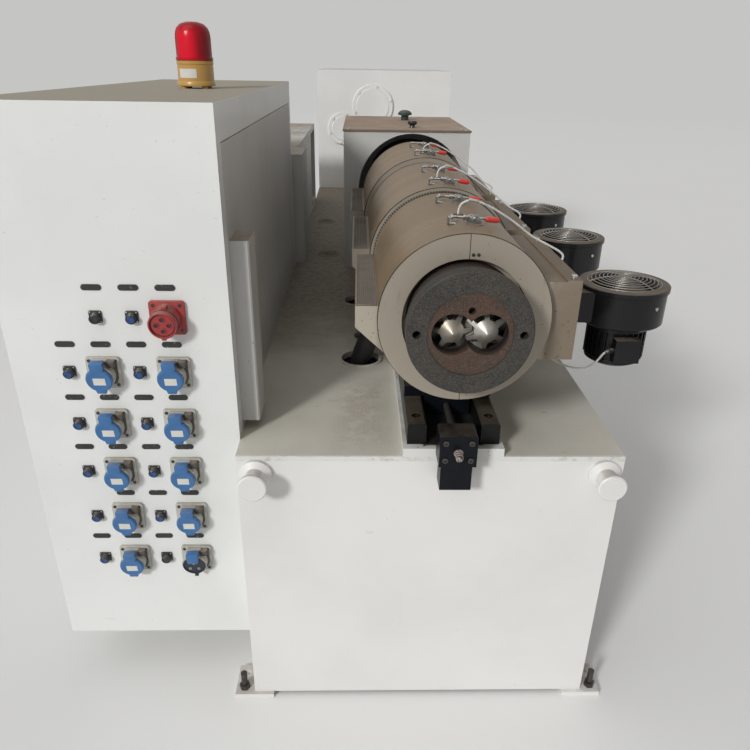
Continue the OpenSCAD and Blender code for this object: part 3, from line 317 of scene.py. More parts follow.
def pad_finish():
    """White seat of the slide with a worn front edge, black on top between the rails a little
    behind its front.
    """
    look = Look("pad_paint")
    brush = look.noise(30, 4, 0.6, (1, 0.12, 1))
    lying = look.facing().between(0.5, 0.9)
    worn = 1 - look.y.between(FRONT, FRONT + 0.105)
    chips = look.noise(55, 4, 0.7).between(0.60, 0.66) * worn
    middle = look.x.band((AXIS_X - 64) / 1000, (AXIS_X + 64) / 1000, 0.006)
    # Black on the top between the rails, from a little behind the front edge.
    black_between_rails = middle * (look.y + brush * 0.02).between(FRONT + 0.019, FRONT + 0.029) * lying
    dust = lying * look.noise(9, 5).between(0.35, 0.75)
    tone = look.coats((0.70, 0.70, 0.67), (dust * 0.7, (0.33, 0.29, 0.24)),
                      (chips, (0.12, 0.11, 0.10)), (black_between_rails, (0.018, 0.017, 0.017)))
    return look.done(tone, brush * 0.2 + 0.42, brush, 0.001, 0.3)


def lid_finish():
    """Lid under thick brown dust, wiped in places, darkest along its front edge."""
    look = Look("lid_paint")
    cloud = look.noise(6, 5, 0.6)
    fine = look.noise(80, 4, 0.7)
    wiped = look.noise(3, 3, 0.5, (1, 0.4, 1), (7, 1, 0)).between(0.55, 0.7)
    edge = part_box("feed_lid")[0][1]
    rim = 1 - look.y.between(edge + 0.014, edge + 0.05)
    tone = look.coats(
        (0.345, 0.255, 0.185), (cloud.between(0.3, 0.7), (0.26, 0.188, 0.132)),
        (wiped * 0.5, (0.50, 0.45, 0.39)), (fine.between(0.62, 0.7) * 0.6, (0.12, 0.085, 0.06)),
        (rim * 0.75, (0.125, 0.088, 0.062)))
    return look.done(tone, fine * 0.2 + 0.62, fine, 0.001, 0.3)


def cast_finish(name, colour, rust_colour, rust, speckle, mouth=None):
    """Scaled steel: a salt-and-pepper grain, soft clouds, rust, and painted shade that darkens the
    bore from the mouth inwards.
    """
    look = Look(name)
    cloud = look.noise(13, 5, 0.6)
    grain = look.noise(620, 3, 0.7)
    coarse = look.noise(150, 4, 0.7, shift=(1, 5, 2))
    stain = look.noise(19, 5, 0.7, shift=(3, 3, 3)).between(0.40, 0.66)
    tone = look.coats(
        colour, (cloud.between(0.35, 0.68), dim(colour, 0.66)), (stain * rust, rust_colour),
        ((1 - coarse.between(0.36, 0.50)) * speckle, dim(colour, 0.3)),
        ((1 - grain.between(0.36, 0.46)) * speckle, dim(colour, 0.15)),
        (grain.between(0.53, 0.61) * speckle, [c * 2.4 + 0.03 for c in colour]))
    if mouth is not None:
        # Painted shade: the bore turns near black a little way in from its mouth.
        bore_shade = look.y.between(mouth + 0.004, mouth + 0.022)
        tone = look.mix(bore_shade * 0.9, tone, (0.008, 0.006, 0.005))
    return look.done(tone, grain * 0.3 + 0.48, grain * 0.6 + coarse, 0.0012, 0.45,
                     Metallic=0.2 - cloud * 0.15)


def machined(name, colour, rough, rust, grime=0.3, metal=0.9, patch=11):
    """Bare or plated steel with fine tool lines and grime in patches."""
    look = Look(name)
    lines = look.noise(90, 3, 0.6)
    dirt = look.noise(patch, 4, 0.6).between(0.45, 0.75) * grime
    rusty = look.noise(34, 5, 0.7, shift=(6, 0, 2)).between(0.52, 0.66) * rust
    tone = look.coats(colour, (dirt, dim(colour, 0.35)), (rusty, RUST))
    return look.done(tone, lines * 0.22 + dirt * 0.3 + (rough - 0.08), lines, 0.0008, 0.25,
                     Metallic=metal - dirt * 0.5)


def screw_finish():
    """Steel that molten plastic has polished, with a warm film, and painted shade that turns it
    near black deeper in the bore.
    """
    look = Look("screw_steel")
    cloud = look.noise(26, 4, 0.6)
    lines = look.noise(160, 3, 0.6, (1, 0.25, 1))
    # Painted shade: deeper in the bore the screws go near black, rougher and less metallic.
    deep_shade = look.y.between(FRONT - 0.054, FRONT - 0.020)
    tone = look.coats((0.50, 0.485, 0.445), (cloud.between(0.35, 0.7), (0.34, 0.30, 0.24)),
                      (deep_shade * 0.95, (0.018, 0.014, 0.011)))
    return look.done(tone, cloud * 0.22 + lines * 0.12 + deep_shade * 0.3 + 0.20,
                     lines, 0.0007, 0.25, Metallic=0.72 - deep_shade * 0.4)


def rod_finish():
    """Dark oiled shank, and a battered thread with rusty crests over greasy grooves."""
    look = Look("rod_steel")
    cloud = look.noise(110, 3, 0.6)
    side, rise = look.x - AXIS_X / 1000, look.z - ROD_Z / 1000
    threaded = 1 - look.y.between(FRONT - 0.062, FRONT - 0.060)
    crest = (side * side + rise * rise).math("SQRT").between(0.0066, 0.0076) * threaded
    end = (look.facing(1) * -1).between(0.7, 0.9)
    tone = look.coats((0.055, 0.052, 0.050), (cloud, (0.085, 0.078, 0.072)),
                      (crest * cloud.between(0.3, 0.45), (0.46, 0.35, 0.31)),
                      (end * cloud.between(0.4, 0.6), (0.40, 0.38, 0.36)))
    return look.done(tone, cloud * 0.3 + 0.3, cloud, 0.0012, 0.5, Metallic=0.4 - crest * 0.2)


def latch_finish():
    """Zinc with painted light: a painted highlight makes it palest on top, painted shade keeps its
    flanks dark, and it is grimy in patches.
    """
    look = Look("latch_zinc")
    cloud = look.noise(95, 4, 0.65)
    # Painted light: the pale up-facing tops and the dark flanks stand in for highlight and shade.
    tone = look.coats((0.24, 0.235, 0.23), (look.facing().between(0.1, 0.8), (0.80, 0.80, 0.79)),
                      (cloud.between(0.50, 0.60) * 0.75, (0.12, 0.11, 0.10)))
    return look.done(tone, cloud * 0.2 + 0.2, cloud, 0.0006, 0.3, Metallic=0.8)


def cover_finish():
    """Warm enamel, browned in bands round the heater covers, pale on the faces at their fronts."""
    look = Look("cover_paint")
    bands = look.noise(24, 3, 0.5, (0.05, 1, 0.05))
    cloud = look.noise(5, 4, 0.55, shift=(2, 0, 5))
    fine = look.noise(90, 3, 0.6)
    lying = look.facing().between(0.45, 1.0)
    dust = lying * (cloud * 0.8 + fine * 0.45).between(0.35, 0.8)
    duct_tops = lying * look.x.between(0.20, 0.215) * cloud.between(0.2, 0.5)
    enamel = look.coats(
        (0.266, 0.191, 0.118), (bands.between(0.32, 0.68), (0.226, 0.160, 0.098)),
        (dust * 0.5, (0.235, 0.175, 0.12)), (duct_tops * 0.85, (0.112, 0.078, 0.048)))
    # The right ducts' front faces turn browner: partly dirt, partly painted shade.
    right_ducts_dirt_and_shade = look.x.between(0.215, 0.225) * cloud.between(0.15, 0.55)
    pale = look.coats(
        (0.41, 0.375, 0.305), (look.x.between(-0.13, -0.12), (0.325, 0.285, 0.23)),
        (right_ducts_dirt_and_shade, (0.205, 0.165, 0.120)))
    drops = look.noise(150, 2, 0.5, shift=(2, 9, 4)).between(0.68, 0.73)
    runs = look.noise(22, 4, 0.65, (1, 0.3, 0.25), (8, 3, 0)).between(0.63, 0.72)
    tone = look.coats(enamel, ((look.facing(1) * -1).between(0.5, 0.9), pale),
                      (drops * 0.8, (0.10, 0.08, 0.06)), (runs * 0.25, (0.17, 0.13, 0.095)))
    return look.done(tone, fine * 0.14 + lying * 0.12 + 0.28, fine, 0.0004, 0.2, Metallic=0.1,
                     Specular_IOR_Level=0.35, Coat_Weight=(1 - lying) * 0.06)


def gloss_black(name, top_dust=0.9, base=(0.006, 0.006, 0.007), rough=0.3, shine=0.3):
    """Thick black enamel, brown with dust where it faces up."""
    look = Look(name)
    lying = look.facing().between(0.4, 0.95)
    dust = lying * look.noise(16, 5, 0.65).between(0.22, 0.6) * top_dust
    haze = look.noise(7, 3).between(0.4, 0.75) * 0.2
    tone = look.coats(base, (haze, (0.035, 0.033, 0.03)), (dust, (0.155, 0.125, 0.092)))
    return look.done(tone, dust * 0.4 + haze * 0.4 + rough, look.noise(180, 2), 0.0005, 0.3,
                     Specular_IOR_Level=shine, Coat_Weight=(1 - dust) * 0.08)


def moulded(name, colour, rough, texture, dirt, coat=0.0):
    """Moulded plastic or rubber with a fine skin texture and handling dirt."""
    look = Look(name)
    grain = look.noise(600, 2)
    cloud = look.noise(24, 4, 0.6)
    lying = look.facing().between(0.5, 0.95) * cloud.between(0.3, 0.65)
    grey = sum(colour) / 3
    handled = [c * 0.55 + grey * 0.2 for c in colour]
    tone = look.coats(colour, (cloud.between(0.4, 0.75) * dirt, handled),
                      (lying * dirt * 1.6, DUST))
    return look.done(tone, grain * 0.12 + cloud * 0.12 + (rough - 0.1), grain, 0.0004, texture,
                     Coat_Weight=(1 - lying) * coat)


def connector_finish(name, mouth, worn):
    """A connector's mouth: a moulded insert round its pins."""
    look = Look(name)
    cloud = look.noise(60, 3)
    return look.done(look.mix(cloud, mouth, worn), cloud * 0.2 + 0.3, look.noise(500, 2),
                     0.0003, 0.3)


def plate_finish():
    """Blank black name plates whose lacquer is worn to bright metal in spots."""
    look = Look("plate_black")
    worn = look.noise(90, 4, 0.7).between(0.60, 0.66)
    tone = look.coats((0.02, 0.02, 0.02), (look.noise(30, 3), (0.05, 0.048, 0.045)),
                      (worn * 0.6, (0.35, 0.34, 0.32)))
    return look.done(tone, 0.38 - worn * 0.1, worn, 0.0003, 0.4, Metallic=worn * 0.6 + 0.2)


def red_lens_finish():
    """Red moulded dome, with a painted highlight where the reflector stands behind it."""
    look = Look("beacon_red")
    depth = look.noise(18, 3, 0.5, (1, 1, 0.3))
    cut = look.value("ShaderNodeTexVoronoi", None, {"Vector": look.spot, "Scale": 150})
    # Painted highlight: a bright patch on the dome's lower half, left of its middle.
    inside = look.x.band(-0.622, -0.600, 0.026) * look.z.band(1.520, 1.566, 0.022)
    tone = look.coats((0.34, 0.002, 0.008), (depth.between(0.3, 0.7), (0.17, 0.001, 0.004)),
                      (inside * 0.8, (0.80, 0.004, 0.026)))
    return look.done(tone, depth * 0.12 + 0.2, cut, 0.0004, 0.25, Specular_IOR_Level=0.25,
                     Coat_Weight=depth * 0.05 + 0.03)


def braid_finish():
    """Glass-fibre braid, woven round the lead by its own UV map."""
    look = Look("lead_braid")
    u, v, _ = look.split(look.node("ShaderNodeTexCoord").outputs["UV"])
    strands = 6 * 2 * math.pi
    weave = (u * strands + v * 900).math("SINE") * (u * strands - v * 900).math("SINE")
    dirt = look.noise(30, 3).between(0.45, 0.75)
    tone = look.coats((0.50, 0.49, 0.46), (weave.between(-0.6, 0.6), (0.78, 0.78, 0.76)),
                      (dirt * 0.4, (0.38, 0.34, 0.29)))
    return look.done(tone, dirt * 0.1 + 0.6, weave, 0.0004, 0.5)


FINISH = dict((
    painted("white_paint", (0.755, 0.745, 0.72), 0.38, 0.55, scuffs=0.3, sheen=0.1),
    painted("cabinet_paint", (0.76, 0.765, 0.745), 0.38, 0.95, (0.315, 0.28, 0.215), 0.2,
            sheen=0.08, bare=0.12),
    painted("grey_white_paint", (0.56, 0.555, 0.53), 0.45, 0.95, scuffs=0.7),
    painted("band_steel", (0.075, 0.068, 0.06), 0.5, 0.5, scuffs=0.5),
    painted("breather_green", (0.022, 0.040, 0.034), 0.4, 0.5),
    deck_finish(),
    pad_finish(),
    lid_finish(),
    cover_finish(),
    cast_finish("barrel_steel", (0.050, 0.045, 0.040), RUST, 0.35, 0.3),
    cast_finish("flange_steel", (0.042, 0.039, 0.034), (0.056, 0.040, 0.027), 0.6, 0.55),
    cast_finish("insert_steel", (0.066, 0.042, 0.029), (0.080, 0.036, 0.020), 0.75, 0.5,
                mouth=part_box("head_insert")[0][1]),
    machined("dark_hardware", (0.10, 0.095, 0.09), 0.4, 0.3),
    machined("mesh_wire", (0.20, 0.175, 0.145), 0.5, 0.15, grime=0.4, metal=0.35),
    machined("guard_wire", (0.34, 0.32, 0.29), 0.36, 0.3, grime=0.7, metal=0.6),
    machined("zinc_steel", (0.62, 0.62, 0.61), 0.28, 0.1, grime=0.9, metal=0.85, patch=75),
    screw_finish(),
    rod_finish(),
    latch_finish(),
    gloss_black("rail_steel", 0.5, (0.008, 0.008, 0.008), 0.34, 0.16),
    gloss_black("black_steel", 0.35, (0.005, 0.006, 0.009), 0.34, 0.14),
    gloss_black("fan_black"),
    # Dark brown for the sheets painted as the shade inside the outlet ducts.
    moulded("mesh_shade", (0.060, 0.050, 0.040), 0.6, 0.4, 0.6),
    moulded("red_sleeve", (0.55, 0.035, 0.022), 0.38, 0.3, 0.3),
    moulded("hose_rubber", (0.022, 0.021, 0.021), 0.55, 0.5, 0.5),
    moulded("knob_black", (0.016, 0.016, 0.017), 0.34, 0.3, 0.3, 0.2),
    moulded("connector_plastic", (0.016, 0.017, 0.021), 0.38, 0.3, 0.3, 0.1),
    moulded("flange_plastic", (0.46, 0.45, 0.40), 0.42, 0.3, 0.4),
    moulded("socket_blue", (0.037, 0.145, 0.35), 0.36, 0.3, 0.2, 0.1),
    moulded("socket_red", (0.34, 0.032, 0.030), 0.38, 0.3, 0.3, 0.1),
    moulded("beacon_yellow", (0.51, 0.29, 0.065), 0.3, 0.1, 0.3, 0.2),
    moulded("blank_label", (0.66, 0.65, 0.60), 0.3, 0.1, 0.25, 0.1),
    moulded("socket_inside", (0.02, 0.025, 0.04), 0.45, 0.3, 0.3),
    # Dark brown for the socket hinges and for the slabs painted as the shadow on their flanges.
    moulded("hinge_brown", (0.085, 0.072, 0.058), 0.5, 0.3, 0.5),
    connector_finish("connector_blue", (0.025, 0.10, 0.30), (0.015, 0.055, 0.17)),
    connector_finish("connector_grey", (0.05, 0.05, 0.052), (0.012, 0.012, 0.013)),
    plate_finish(),
    red_lens_finish(),
    braid_finish(),
))

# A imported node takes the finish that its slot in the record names, apart from these.
OWN_FINISH = {"control_cabinet": "cabinet_paint", "slide_pad": "pad_paint",
              "cable_channel": "grey_white_paint", "outlet_grilles": "dark_hardware",
              "lead_clips": "knob_black", "name_plates": "plate_black"}

for row in frame["record"]["subparts"]:
    for held in nodes[row["node"]].material_slots:
        held.material = FINISH[OWN_FINISH.get(row["node"], row["material_slot"])]

# ---- Mesh work ----

MM = Matrix.Diagonal((0.001, 0.001, 0.001, 1))
MACHINE = shifted(0, FRONT, 0) @ MM


def stand(origin, out=UP, across=RIGHT):
    """Millimetres drawn with Z along out and X along across, placed at a point of the machine."""
    z = Vector(out).normalized()
    x = (Vector(across) - z * Vector(across).dot(z)).normalized()
    turn = Matrix((x, z.cross(x), z)).transposed().to_4x4()
    return Matrix.Translation(at(*origin)) @ turn @ MM


def on_panel(i, j):
    """Drawn with X across the socket panel, Y up it and Z out of it."""
    return stand((PANEL_X + COLUMN * i, PANEL_Y, PANEL_TOP - ROW * j), AHEAD)


def on_cover(y, r, angle):
    """Drawn with Z out of a cover's skin and X down round it."""
    c, s = math.cos(math.radians(angle)), math.sin(math.radians(angle))
    return stand((AXIS_X + r * s, y, AXIS_Z + r * c), (s, 0, c), (c, 0, -s))


def meshed(name, bm):
    """The plain mesh that a bmesh holds."""
    mesh = bpy.data.meshes.new(name)
    bm.to_mesh(mesh)
    bm.free()
    return mesh


def join(bm, part, place):
    """Adds a part, drawn in millimetres, to a piece's mesh."""
    part.transform(place)
    mesh = meshed("part", part)
    bm.from_mesh(mesh)
    bpy.data.meshes.remove(mesh)


def wall(bm, rings, loop=False):
    """Faces from each ring of corners to the next; the ends are closed, or meet in a loop."""
    ends, joint = ((), rings[:1]) if loop else ((rings[0], rings[-1]), [])
    for low, high in zip(rings, rings[1:] + joint):
        steps = max(len(low), len(high))
        for k in range(steps):
            n = (k + 1) % steps
            ring = (low[k % len(low)], low[n % len(low)], high[n % len(high)], high[k % len(high)])
            corners = list(dict.fromkeys(ring))
            if len(corners) > 2:
                bm.faces.new(corners)
    for ring in ends:
        if len(ring) > 1:
            bm.faces.new(ring)
    bmesh.ops.recalc_face_normals(bm, faces=bm.faces)
    return bm


def turned(profile, steps, loop=False):
    """A profile of (radius, height) points turned about Z; in a loop it meets itself."""
    bm = bmesh.new()
    return wall(bm, [[bm.verts.new((x, y, z)) for x, y in around(steps if r else 1, r)]
                     for r, z in profile], loop)


def slab(outline, low, high, bevel=0.0, segments=2):
    """An outline in X and Y raised from low to high, with its edges rounded."""
    bm = bmesh.new()
    base = bm.faces.new([bm.verts.new((x, y, low)) for x, y in outline])
    top = bmesh.ops.extrude_face_region(bm, geom=[base])
    lifted = [v for v in top["geom"] if isinstance(v, bmesh.types.BMVert)]
    bmesh.ops.translate(bm, vec=(0, 0, high - low), verts=lifted)
    bmesh.ops.recalc_face_normals(bm, faces=bm.faces)
    if bevel:
        sharp = [e for e in bm.edges if e.calc_face_angle(0) > 0.6]
        bmesh.ops.bevel(bm, geom=sharp, offset=bevel, segments=segments, affect="EDGES",
                        profile=0.5)
    return bm


def box_outline(w, h, x=0, y=0):
    return [(x + sx * w / 2, y + sy * h / 2) for sx, sy in ((-1, -1), (1, -1), (1, 1), (-1, 1))]


def rounded_outline(w, h, r):
    points, steps = [], 4
    for n, (sx, sy) in enumerate(((1, 1), (-1, 1), (-1, -1), (1, -1))):
        for k in range(steps + 1):
            a = math.radians(90 * n + 90 * k / steps)
            points.append((sx * (w / 2 - r) + r * math.cos(a), sy * (h / 2 - r) + r * math.sin(a)))
    return points


def smooth_line(points, steps):
    """A smooth line through points, with some steps from each to the next."""
    p = [Vector(q) for q in points]
    p = [2 * p[0] - p[1]] + p + [2 * p[-1] - p[-2]]
    line = []
    for a, b, c, d in zip(p, p[1:], p[2:], p[3:]):
        for k in range(steps):
            t = k / steps
            line.append(0.5 * (2 * b + (c - a) * t + (2 * a - 5 * b + 4 * c - d) * t * t
                               + (3 * b - a - 3 * c + d) * t * t * t))
    line.append(p[-2])
    return line


def tube(line, radius, sides, uv=False):
    """A closed tube round a line; radius is a number or one for each point.

    Its UV map, where it has one, runs round it in U and along it in V, in metres.
    """
    bm = bmesh.new()
    radii = radius if isinstance(radius, list) else [radius] * len(line)
    side = (line[1] - line[0]).orthogonal().normalized()
    rings, run = [], [0.0]
    for n, spot in enumerate(line):
        way = (line[min(n + 1, len(line) - 1)] - line[max(n - 1, 0)]).normalized()
        side = (side - way * side.dot(way)).normalized()
        up = way.cross(side)
        if n:
            run.append(run[-1] + (spot - line[n - 1]).length)
        rings.append([bm.verts.new(spot + u * side + v * up) for u, v in around(sides, radii[n])])
    wall(bm, rings)
    if uv:
        layer = bm.loops.layers.uv.new("along")
        bm.verts.index_update()
        for face in bm.faces:
            spots = [divmod(loop.vert.index, sides) for loop in face.loops]
            seam = any(k == sides - 1 for _, k in spots)
            for loop, (n, k) in zip(face.loops, spots):
                turn = sides if seam and k == 0 else k
                loop[layer].uv = (turn / sides, run[n] / 1000)
    return bm


def thick_sheet(rows, drop):
    """A grid of points, closed by the same grid at a drop below it and a rim between them."""
    bm = bmesh.new()
    high = [[bm.verts.new(p) for p in row] for row in rows]
    low = [[bm.verts.new((x, y, z - drop)) for x, y, z in row] for row in rows]
    rims = []
    for grid in (high, low):
        for a, b in zip(grid, grid[1:]):
            for m in range(len(a) - 1):
                bm.faces.new((a[m], a[m + 1], b[m + 1], b[m]))
        rims.append(grid[0] + [row[-1] for row in grid[1:]] + grid[-1][-2::-1]
                    + [row[0] for row in grid[-2:0:-1]])
    for n in range(len(rims[0])):
        bm.faces.new((rims[0][n - 1], rims[0][n], rims[1][n], rims[1][n - 1]))
    bmesh.ops.recalc_face_normals(bm, faces=bm.faces)
    return bm


def piece(name, mesh, finish, replaces=(), angle=35):
    """Makes a piece of the machine from a mesh that is already in its place."""
    if isinstance(mesh, bmesh.types.BMesh):
        mesh = meshed(name, mesh)
    mesh.shade_smooth()
    mesh.set_sharp_from_angle(angle=math.radians(angle))
    mesh.materials.clear()
    mesh.materials.append(FINISH[finish])
    made = shown(name, mesh)
    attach(made, "machine")
    if replaces:
        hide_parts(*replaces)
    return made


# ---- Geometry node recipes ----


class Recipe(Tree):
    """A geometry node tree with named inputs for its sizes."""

    def __init__(self, name, **sizes):
        tree = bpy.data.node_groups.new(name, "GeometryNodeTree")
        super().__init__(tree)
        tree.interface.new_socket("Geometry", in_out="INPUT", socket_type="NodeSocketGeometry")
        for key, value in sizes.items():
            kind = "NodeSocketInt" if isinstance(value, int) else "NodeSocketFloat"
            made = tree.interface.new_socket(key, in_out="INPUT", socket_type=kind)
            made.default_value = value
        tree.interface.new_socket("Geometry", in_out="OUTPUT", socket_type="NodeSocketGeometry")
        self.given = self.node("NodeGroupInput")

    def size(self, name):
        return Value(self, self.given.outputs[name])

    def end(self, geometry, finish):
        """Realize Instances and Set Material close the tree."""
        real = self.node("GeometryNodeRealizeInstances", None, {0: geometry})
        dressed = self.node("GeometryNodeSetMaterial", None, {0: real.outputs[0]})
        dressed.inputs["Material"].default_value = FINISH[finish]
        self.node("NodeGroupOutput", None, {0: dressed.outputs[0]})
        return self

    def aimed(self, instance):
        """Sets an instance on each start point, with its Z along the point's own aim."""
        aim = self.node("GeometryNodeInputNamedAttribute", {"data_type": "FLOAT_VECTOR"},
                        {"Name": "aim"})
        turn = self.node("FunctionNodeAlignRotationToVector", {"axis": "Z"},
                         {"Vector": aim.outputs["Attribute"]})
        return self.node("GeometryNodeInstanceOnPoints", None, {
            "Points": self.given.outputs["Geometry"], "Instance": instance,
            "Rotation": turn.outputs[0]}).outputs[0]


def start_points(spots):
    """A mesh of points for a recipe: each is (place in metres, direction that it aims in)."""
    mesh = bpy.data.meshes.new("start")
    mesh.from_pydata([s[0] for s in spots], [], [])
    aim = mesh.attributes.new("aim", "FLOAT_VECTOR", "POINT")
    for n, (_, way) in enumerate(spots):
        aim.data[n].vector = Vector(way).normalized()
    return mesh


def grown(name, recipe, start, finish, slot=None, replaces=(), angle=35, **sizes):
    """Runs a recipe on a start mesh and makes a piece of the plain mesh that it gives."""
    seed = shown(name + ".start", start)
    worker = seed.modifiers.new(name, "NODES")
    worker.node_group = recipe.tree
    for item in recipe.tree.interface.items_tree:
        if item.item_type == "SOCKET" and item.in_out == "INPUT" and item.name in sizes:
            worker[item.identifier] = sizes[item.name]
    graph = bpy.context.evaluated_depsgraph_get()
    mesh = bpy.data.meshes.new_from_object(seed.evaluated_get(graph))
    seed.modifiers.remove(worker)
    bpy.data.objects.remove(seed)
    if "aim" in mesh.attributes:
        mesh.attributes.remove(mesh.attributes["aim"])
    return piece(name, mesh, finish, replaces=replaces, angle=angle)


def screw_head_recipe(name, finish):
    """Screw heads: a prism with a rounded top and a sunk socket."""
    r = Recipe(name, head=0.006, height=0.005, socket=0.003, depth=0.002, sides=16)
    body = r.node("GeometryNodeMeshCylinder", {"fill_type": "NGON"}, {
        "Vertices": r.size("sides"), "Radius": r.size("head"), "Depth": r.size("height")})
    up = r.node("ShaderNodeCombineXYZ", None, {2: r.size("height") * 0.5})
    lifted = r.node("GeometryNodeTransform", None, {
        "Geometry": body.outputs["Mesh"], "Translation": up.outputs[0]})

    def raised(mesh, top, by):
        return r.node("GeometryNodeExtrudeMesh", {"mode": "FACES"}, {
            "Mesh": mesh.outputs[0], "Selection": top.outputs["Top"], "Offset Scale": by})

    def scaled(mesh, by):
        return r.node("GeometryNodeScaleElements", {"domain": "FACE"}, {
            "Geometry": mesh.outputs["Mesh"], "Selection": mesh.outputs["Top"], "Scale": by})

    taper = 0.88
    rim = raised(lifted, body, r.size("height") * 0.12)
    flat = raised(scaled(rim, taper), rim, 0.0)
    mouth = scaled(flat, r.size("socket") / (r.size("head") * taper))
    sunk = raised(mouth, flat, r.size("depth") * -1)
    return r.end(r.aimed(sunk.outputs["Mesh"]), finish)


def guard_recipe():
    """Fan guards: wire rings on arched spokes."""
    r = Recipe("fan_guard_wires", radius=0.084, dome=0.0125, wire=0.0013, rings=9, spokes=6)
    span = r.size("radius")

    def height(x):
        return r.size("dome") * (1 - (x / span) * (x / span) * (x / span))

    line = r.node("GeometryNodeMeshLine", {"mode": "OFFSET"}, {"Count": r.size("rings")})
    index = Value(r, r.node("GeometryNodeInputIndex").outputs[0])
    reach = (index + 1.6) / (r.size("rings") + 0.6) * span
    place = r.node("ShaderNodeCombineXYZ", None, {2: height(reach)})
    spread = r.node("GeometryNodeSetPosition", None, {
        "Geometry": line.outputs[0], "Position": place.outputs[0]})
    circle = r.node("GeometryNodeCurvePrimitiveCircle", None, {"Resolution": 40, "Radius": 1.0})
    hoops = r.node("GeometryNodeInstanceOnPoints", None, {
        "Points": spread.outputs[0], "Instance": circle.outputs[0], "Scale": reach.socket})
    stick = r.node("GeometryNodeCurvePrimitiveLine", None, {"Start": (0, 0, 0), "End": (1, 0, 0)})
    bent = r.node("GeometryNodeResampleCurve", None, {"Curve": stick.outputs[0], "Count": 12})
    where = r.node("GeometryNodeInputPosition").outputs[0]
    x = r.value("ShaderNodeSeparateXYZ", None, {0: where}) * span
    arch = r.node("ShaderNodeCombineXYZ", None, {0: x, 2: height(x)})
    arm = r.node("GeometryNodeSetPosition", None, {
        "Geometry": bent.outputs[0], "Position": arch.outputs[0]})
    wheel = r.node("GeometryNodeMeshLine", {"mode": "OFFSET"}, {
        "Count": r.size("spokes"), "Offset": (0, 0, 0)})
    swing = r.node("ShaderNodeCombineXYZ", None, {2: index / r.size("spokes") * (2 * math.pi)})
    arms = r.node("GeometryNodeInstanceOnPoints", None, {
        "Points": wheel.outputs[0], "Instance": arm.outputs[0], "Rotation": swing.outputs[0]})
    both = r.node("GeometryNodeJoinGeometry")
    for half in (hoops, arms):
        r.tree.links.new(half.outputs[0], both.inputs[0])
    real = r.node("GeometryNodeRealizeInstances", None, {0: both.outputs[0]})
    round_wire = r.node("GeometryNodeCurvePrimitiveCircle", None, {
        "Resolution": 6, "Radius": r.size("wire")})
    wires = r.node("GeometryNodeCurveToMesh", None, {
        "Curve": real.outputs[0], "Profile Curve": round_wire.outputs[0], "Fill Caps": True})
    return r.end(r.aimed(wires.outputs[0]), "guard_wire")


def bar_recipe(name, finish):
    """Small bars set on points: the wires of the grilles and the teeth of the serrated edge."""
    r = Recipe(name, across=0.002, along=0.002, tall=0.002)
    shape = r.node("ShaderNodeCombineXYZ", None, {
        0: r.size("across"), 1: r.size("along"), 2: r.size("tall")})
    bar = r.node("GeometryNodeMeshCube", None, {"Size": shape.outputs[0]})
    return r.end(r.aimed(bar.outputs[0]), finish)


# ---- Small screws ----

SCREW_HEADS = {finish: screw_head_recipe(name, finish) for name, finish in (
    ("cap_screws", "dark_hardware"), ("bright_screws", "zinc_steel"),
    ("painted_screws", "white_paint"))}


def screws(name, finish, spots, head, height, socket, depth, sides=16):
    """Screw heads of one size, in millimetres; each spot is (place, direction)."""
    grown(name, SCREW_HEADS[finish], start_points(spots), finish, head=head / 1000,
          height=height / 1000, socket=socket / 1000, depth=depth / 1000, sides=sides)


def make_small_screws():
    """Screws of the slide, the covers, the drive and the lid."""
    block = [(at(AXIS_X + side * 27, -60, z), AHEAD) for side in (-1, 1) for z in (757, 798)]
    screws("adjuster_screws", "dark_hardware", block, 6.2, 3.2, 3.2, 2.8)
    rails = [(at(AXIS_X + side * 81, 60 + 240 * k, 788), UP) for side in (-1, 1) for k in range(6)]
    screws("rail_screws", "dark_hardware", rails, 8.5, 8.0, 4.5, 5.0)
    ring = [(at(AXIS_X + x, -15, AXIS_Z + 133), AHEAD) for x in (7, 17)]
    screws("ring_screws", "dark_hardware", ring, 3.4, 1.2, 1.6, 1.0, 14)
    strip = [(at(INLET_X - 12, start + y, AXIS_Z + 77), UP)
             for start, length in zip(DUCT_Y, DUCT_L) for y in (22, length - 60)]
    screws("strip_bolts", "zinc_steel", strip, 6.2, 5.5, 3.2, 2.6, 12)
    caps = [(at(x + u, BEARING_FACE, z + v), AHEAD)
            for x, z, r in BEARINGS for u, v in around(6, r, 18)]
    screws("bearing_cover_bolts", "white_paint", caps, 8.5, 6.5, 4.5, 1.0, 6)
    lid = [(at(x, y, LID_TOP), UP) for x in (-205, 256) for y in (1542, 1560, 2240)]
    lid += [(at(x, 1600, LID_TOP), UP) for x in (-196, 246)]
    screws("lid_screws", "zinc_steel", lid, 5.5, 3.0, 2.6, 1.8, 12)


def make_panel_screws():
    """Screws in the corners of the sockets and connectors, and round the fan drums."""
    held = [(on_panel(i, j) @ Vector((sx * 28, sy * 28, 8)), AHEAD)
            for i, j in SOCKETS + [RED_SOCKET] for sx, sy in CORNERS]
    screws("socket_screws", "dark_hardware", held, 3.8, 1.4, 1.8, 1.2, 12)
    held = [(on_panel(i, j) @ Vector((sx * 10.3, sy * 10.3, 3)), AHEAD)
            for i, j in CONNECTORS for sx, sy in CORNERS]
    screws("connector_screws", "zinc_steel", held, 1.7, 1.1, 0.8, 0.6, 8)
    drums = [(at(FAN_X + 100 * u, y + 100 * v, 1012), (u, v, 0))
             for y in FAN_Y for u, v in around(3, 1, -60)]
    screws("fan_drum_screws", "zinc_steel", drums, 4.2, 2.2, 2.0, 1.4, 12)


# ---- Pieces on the discharge end ----

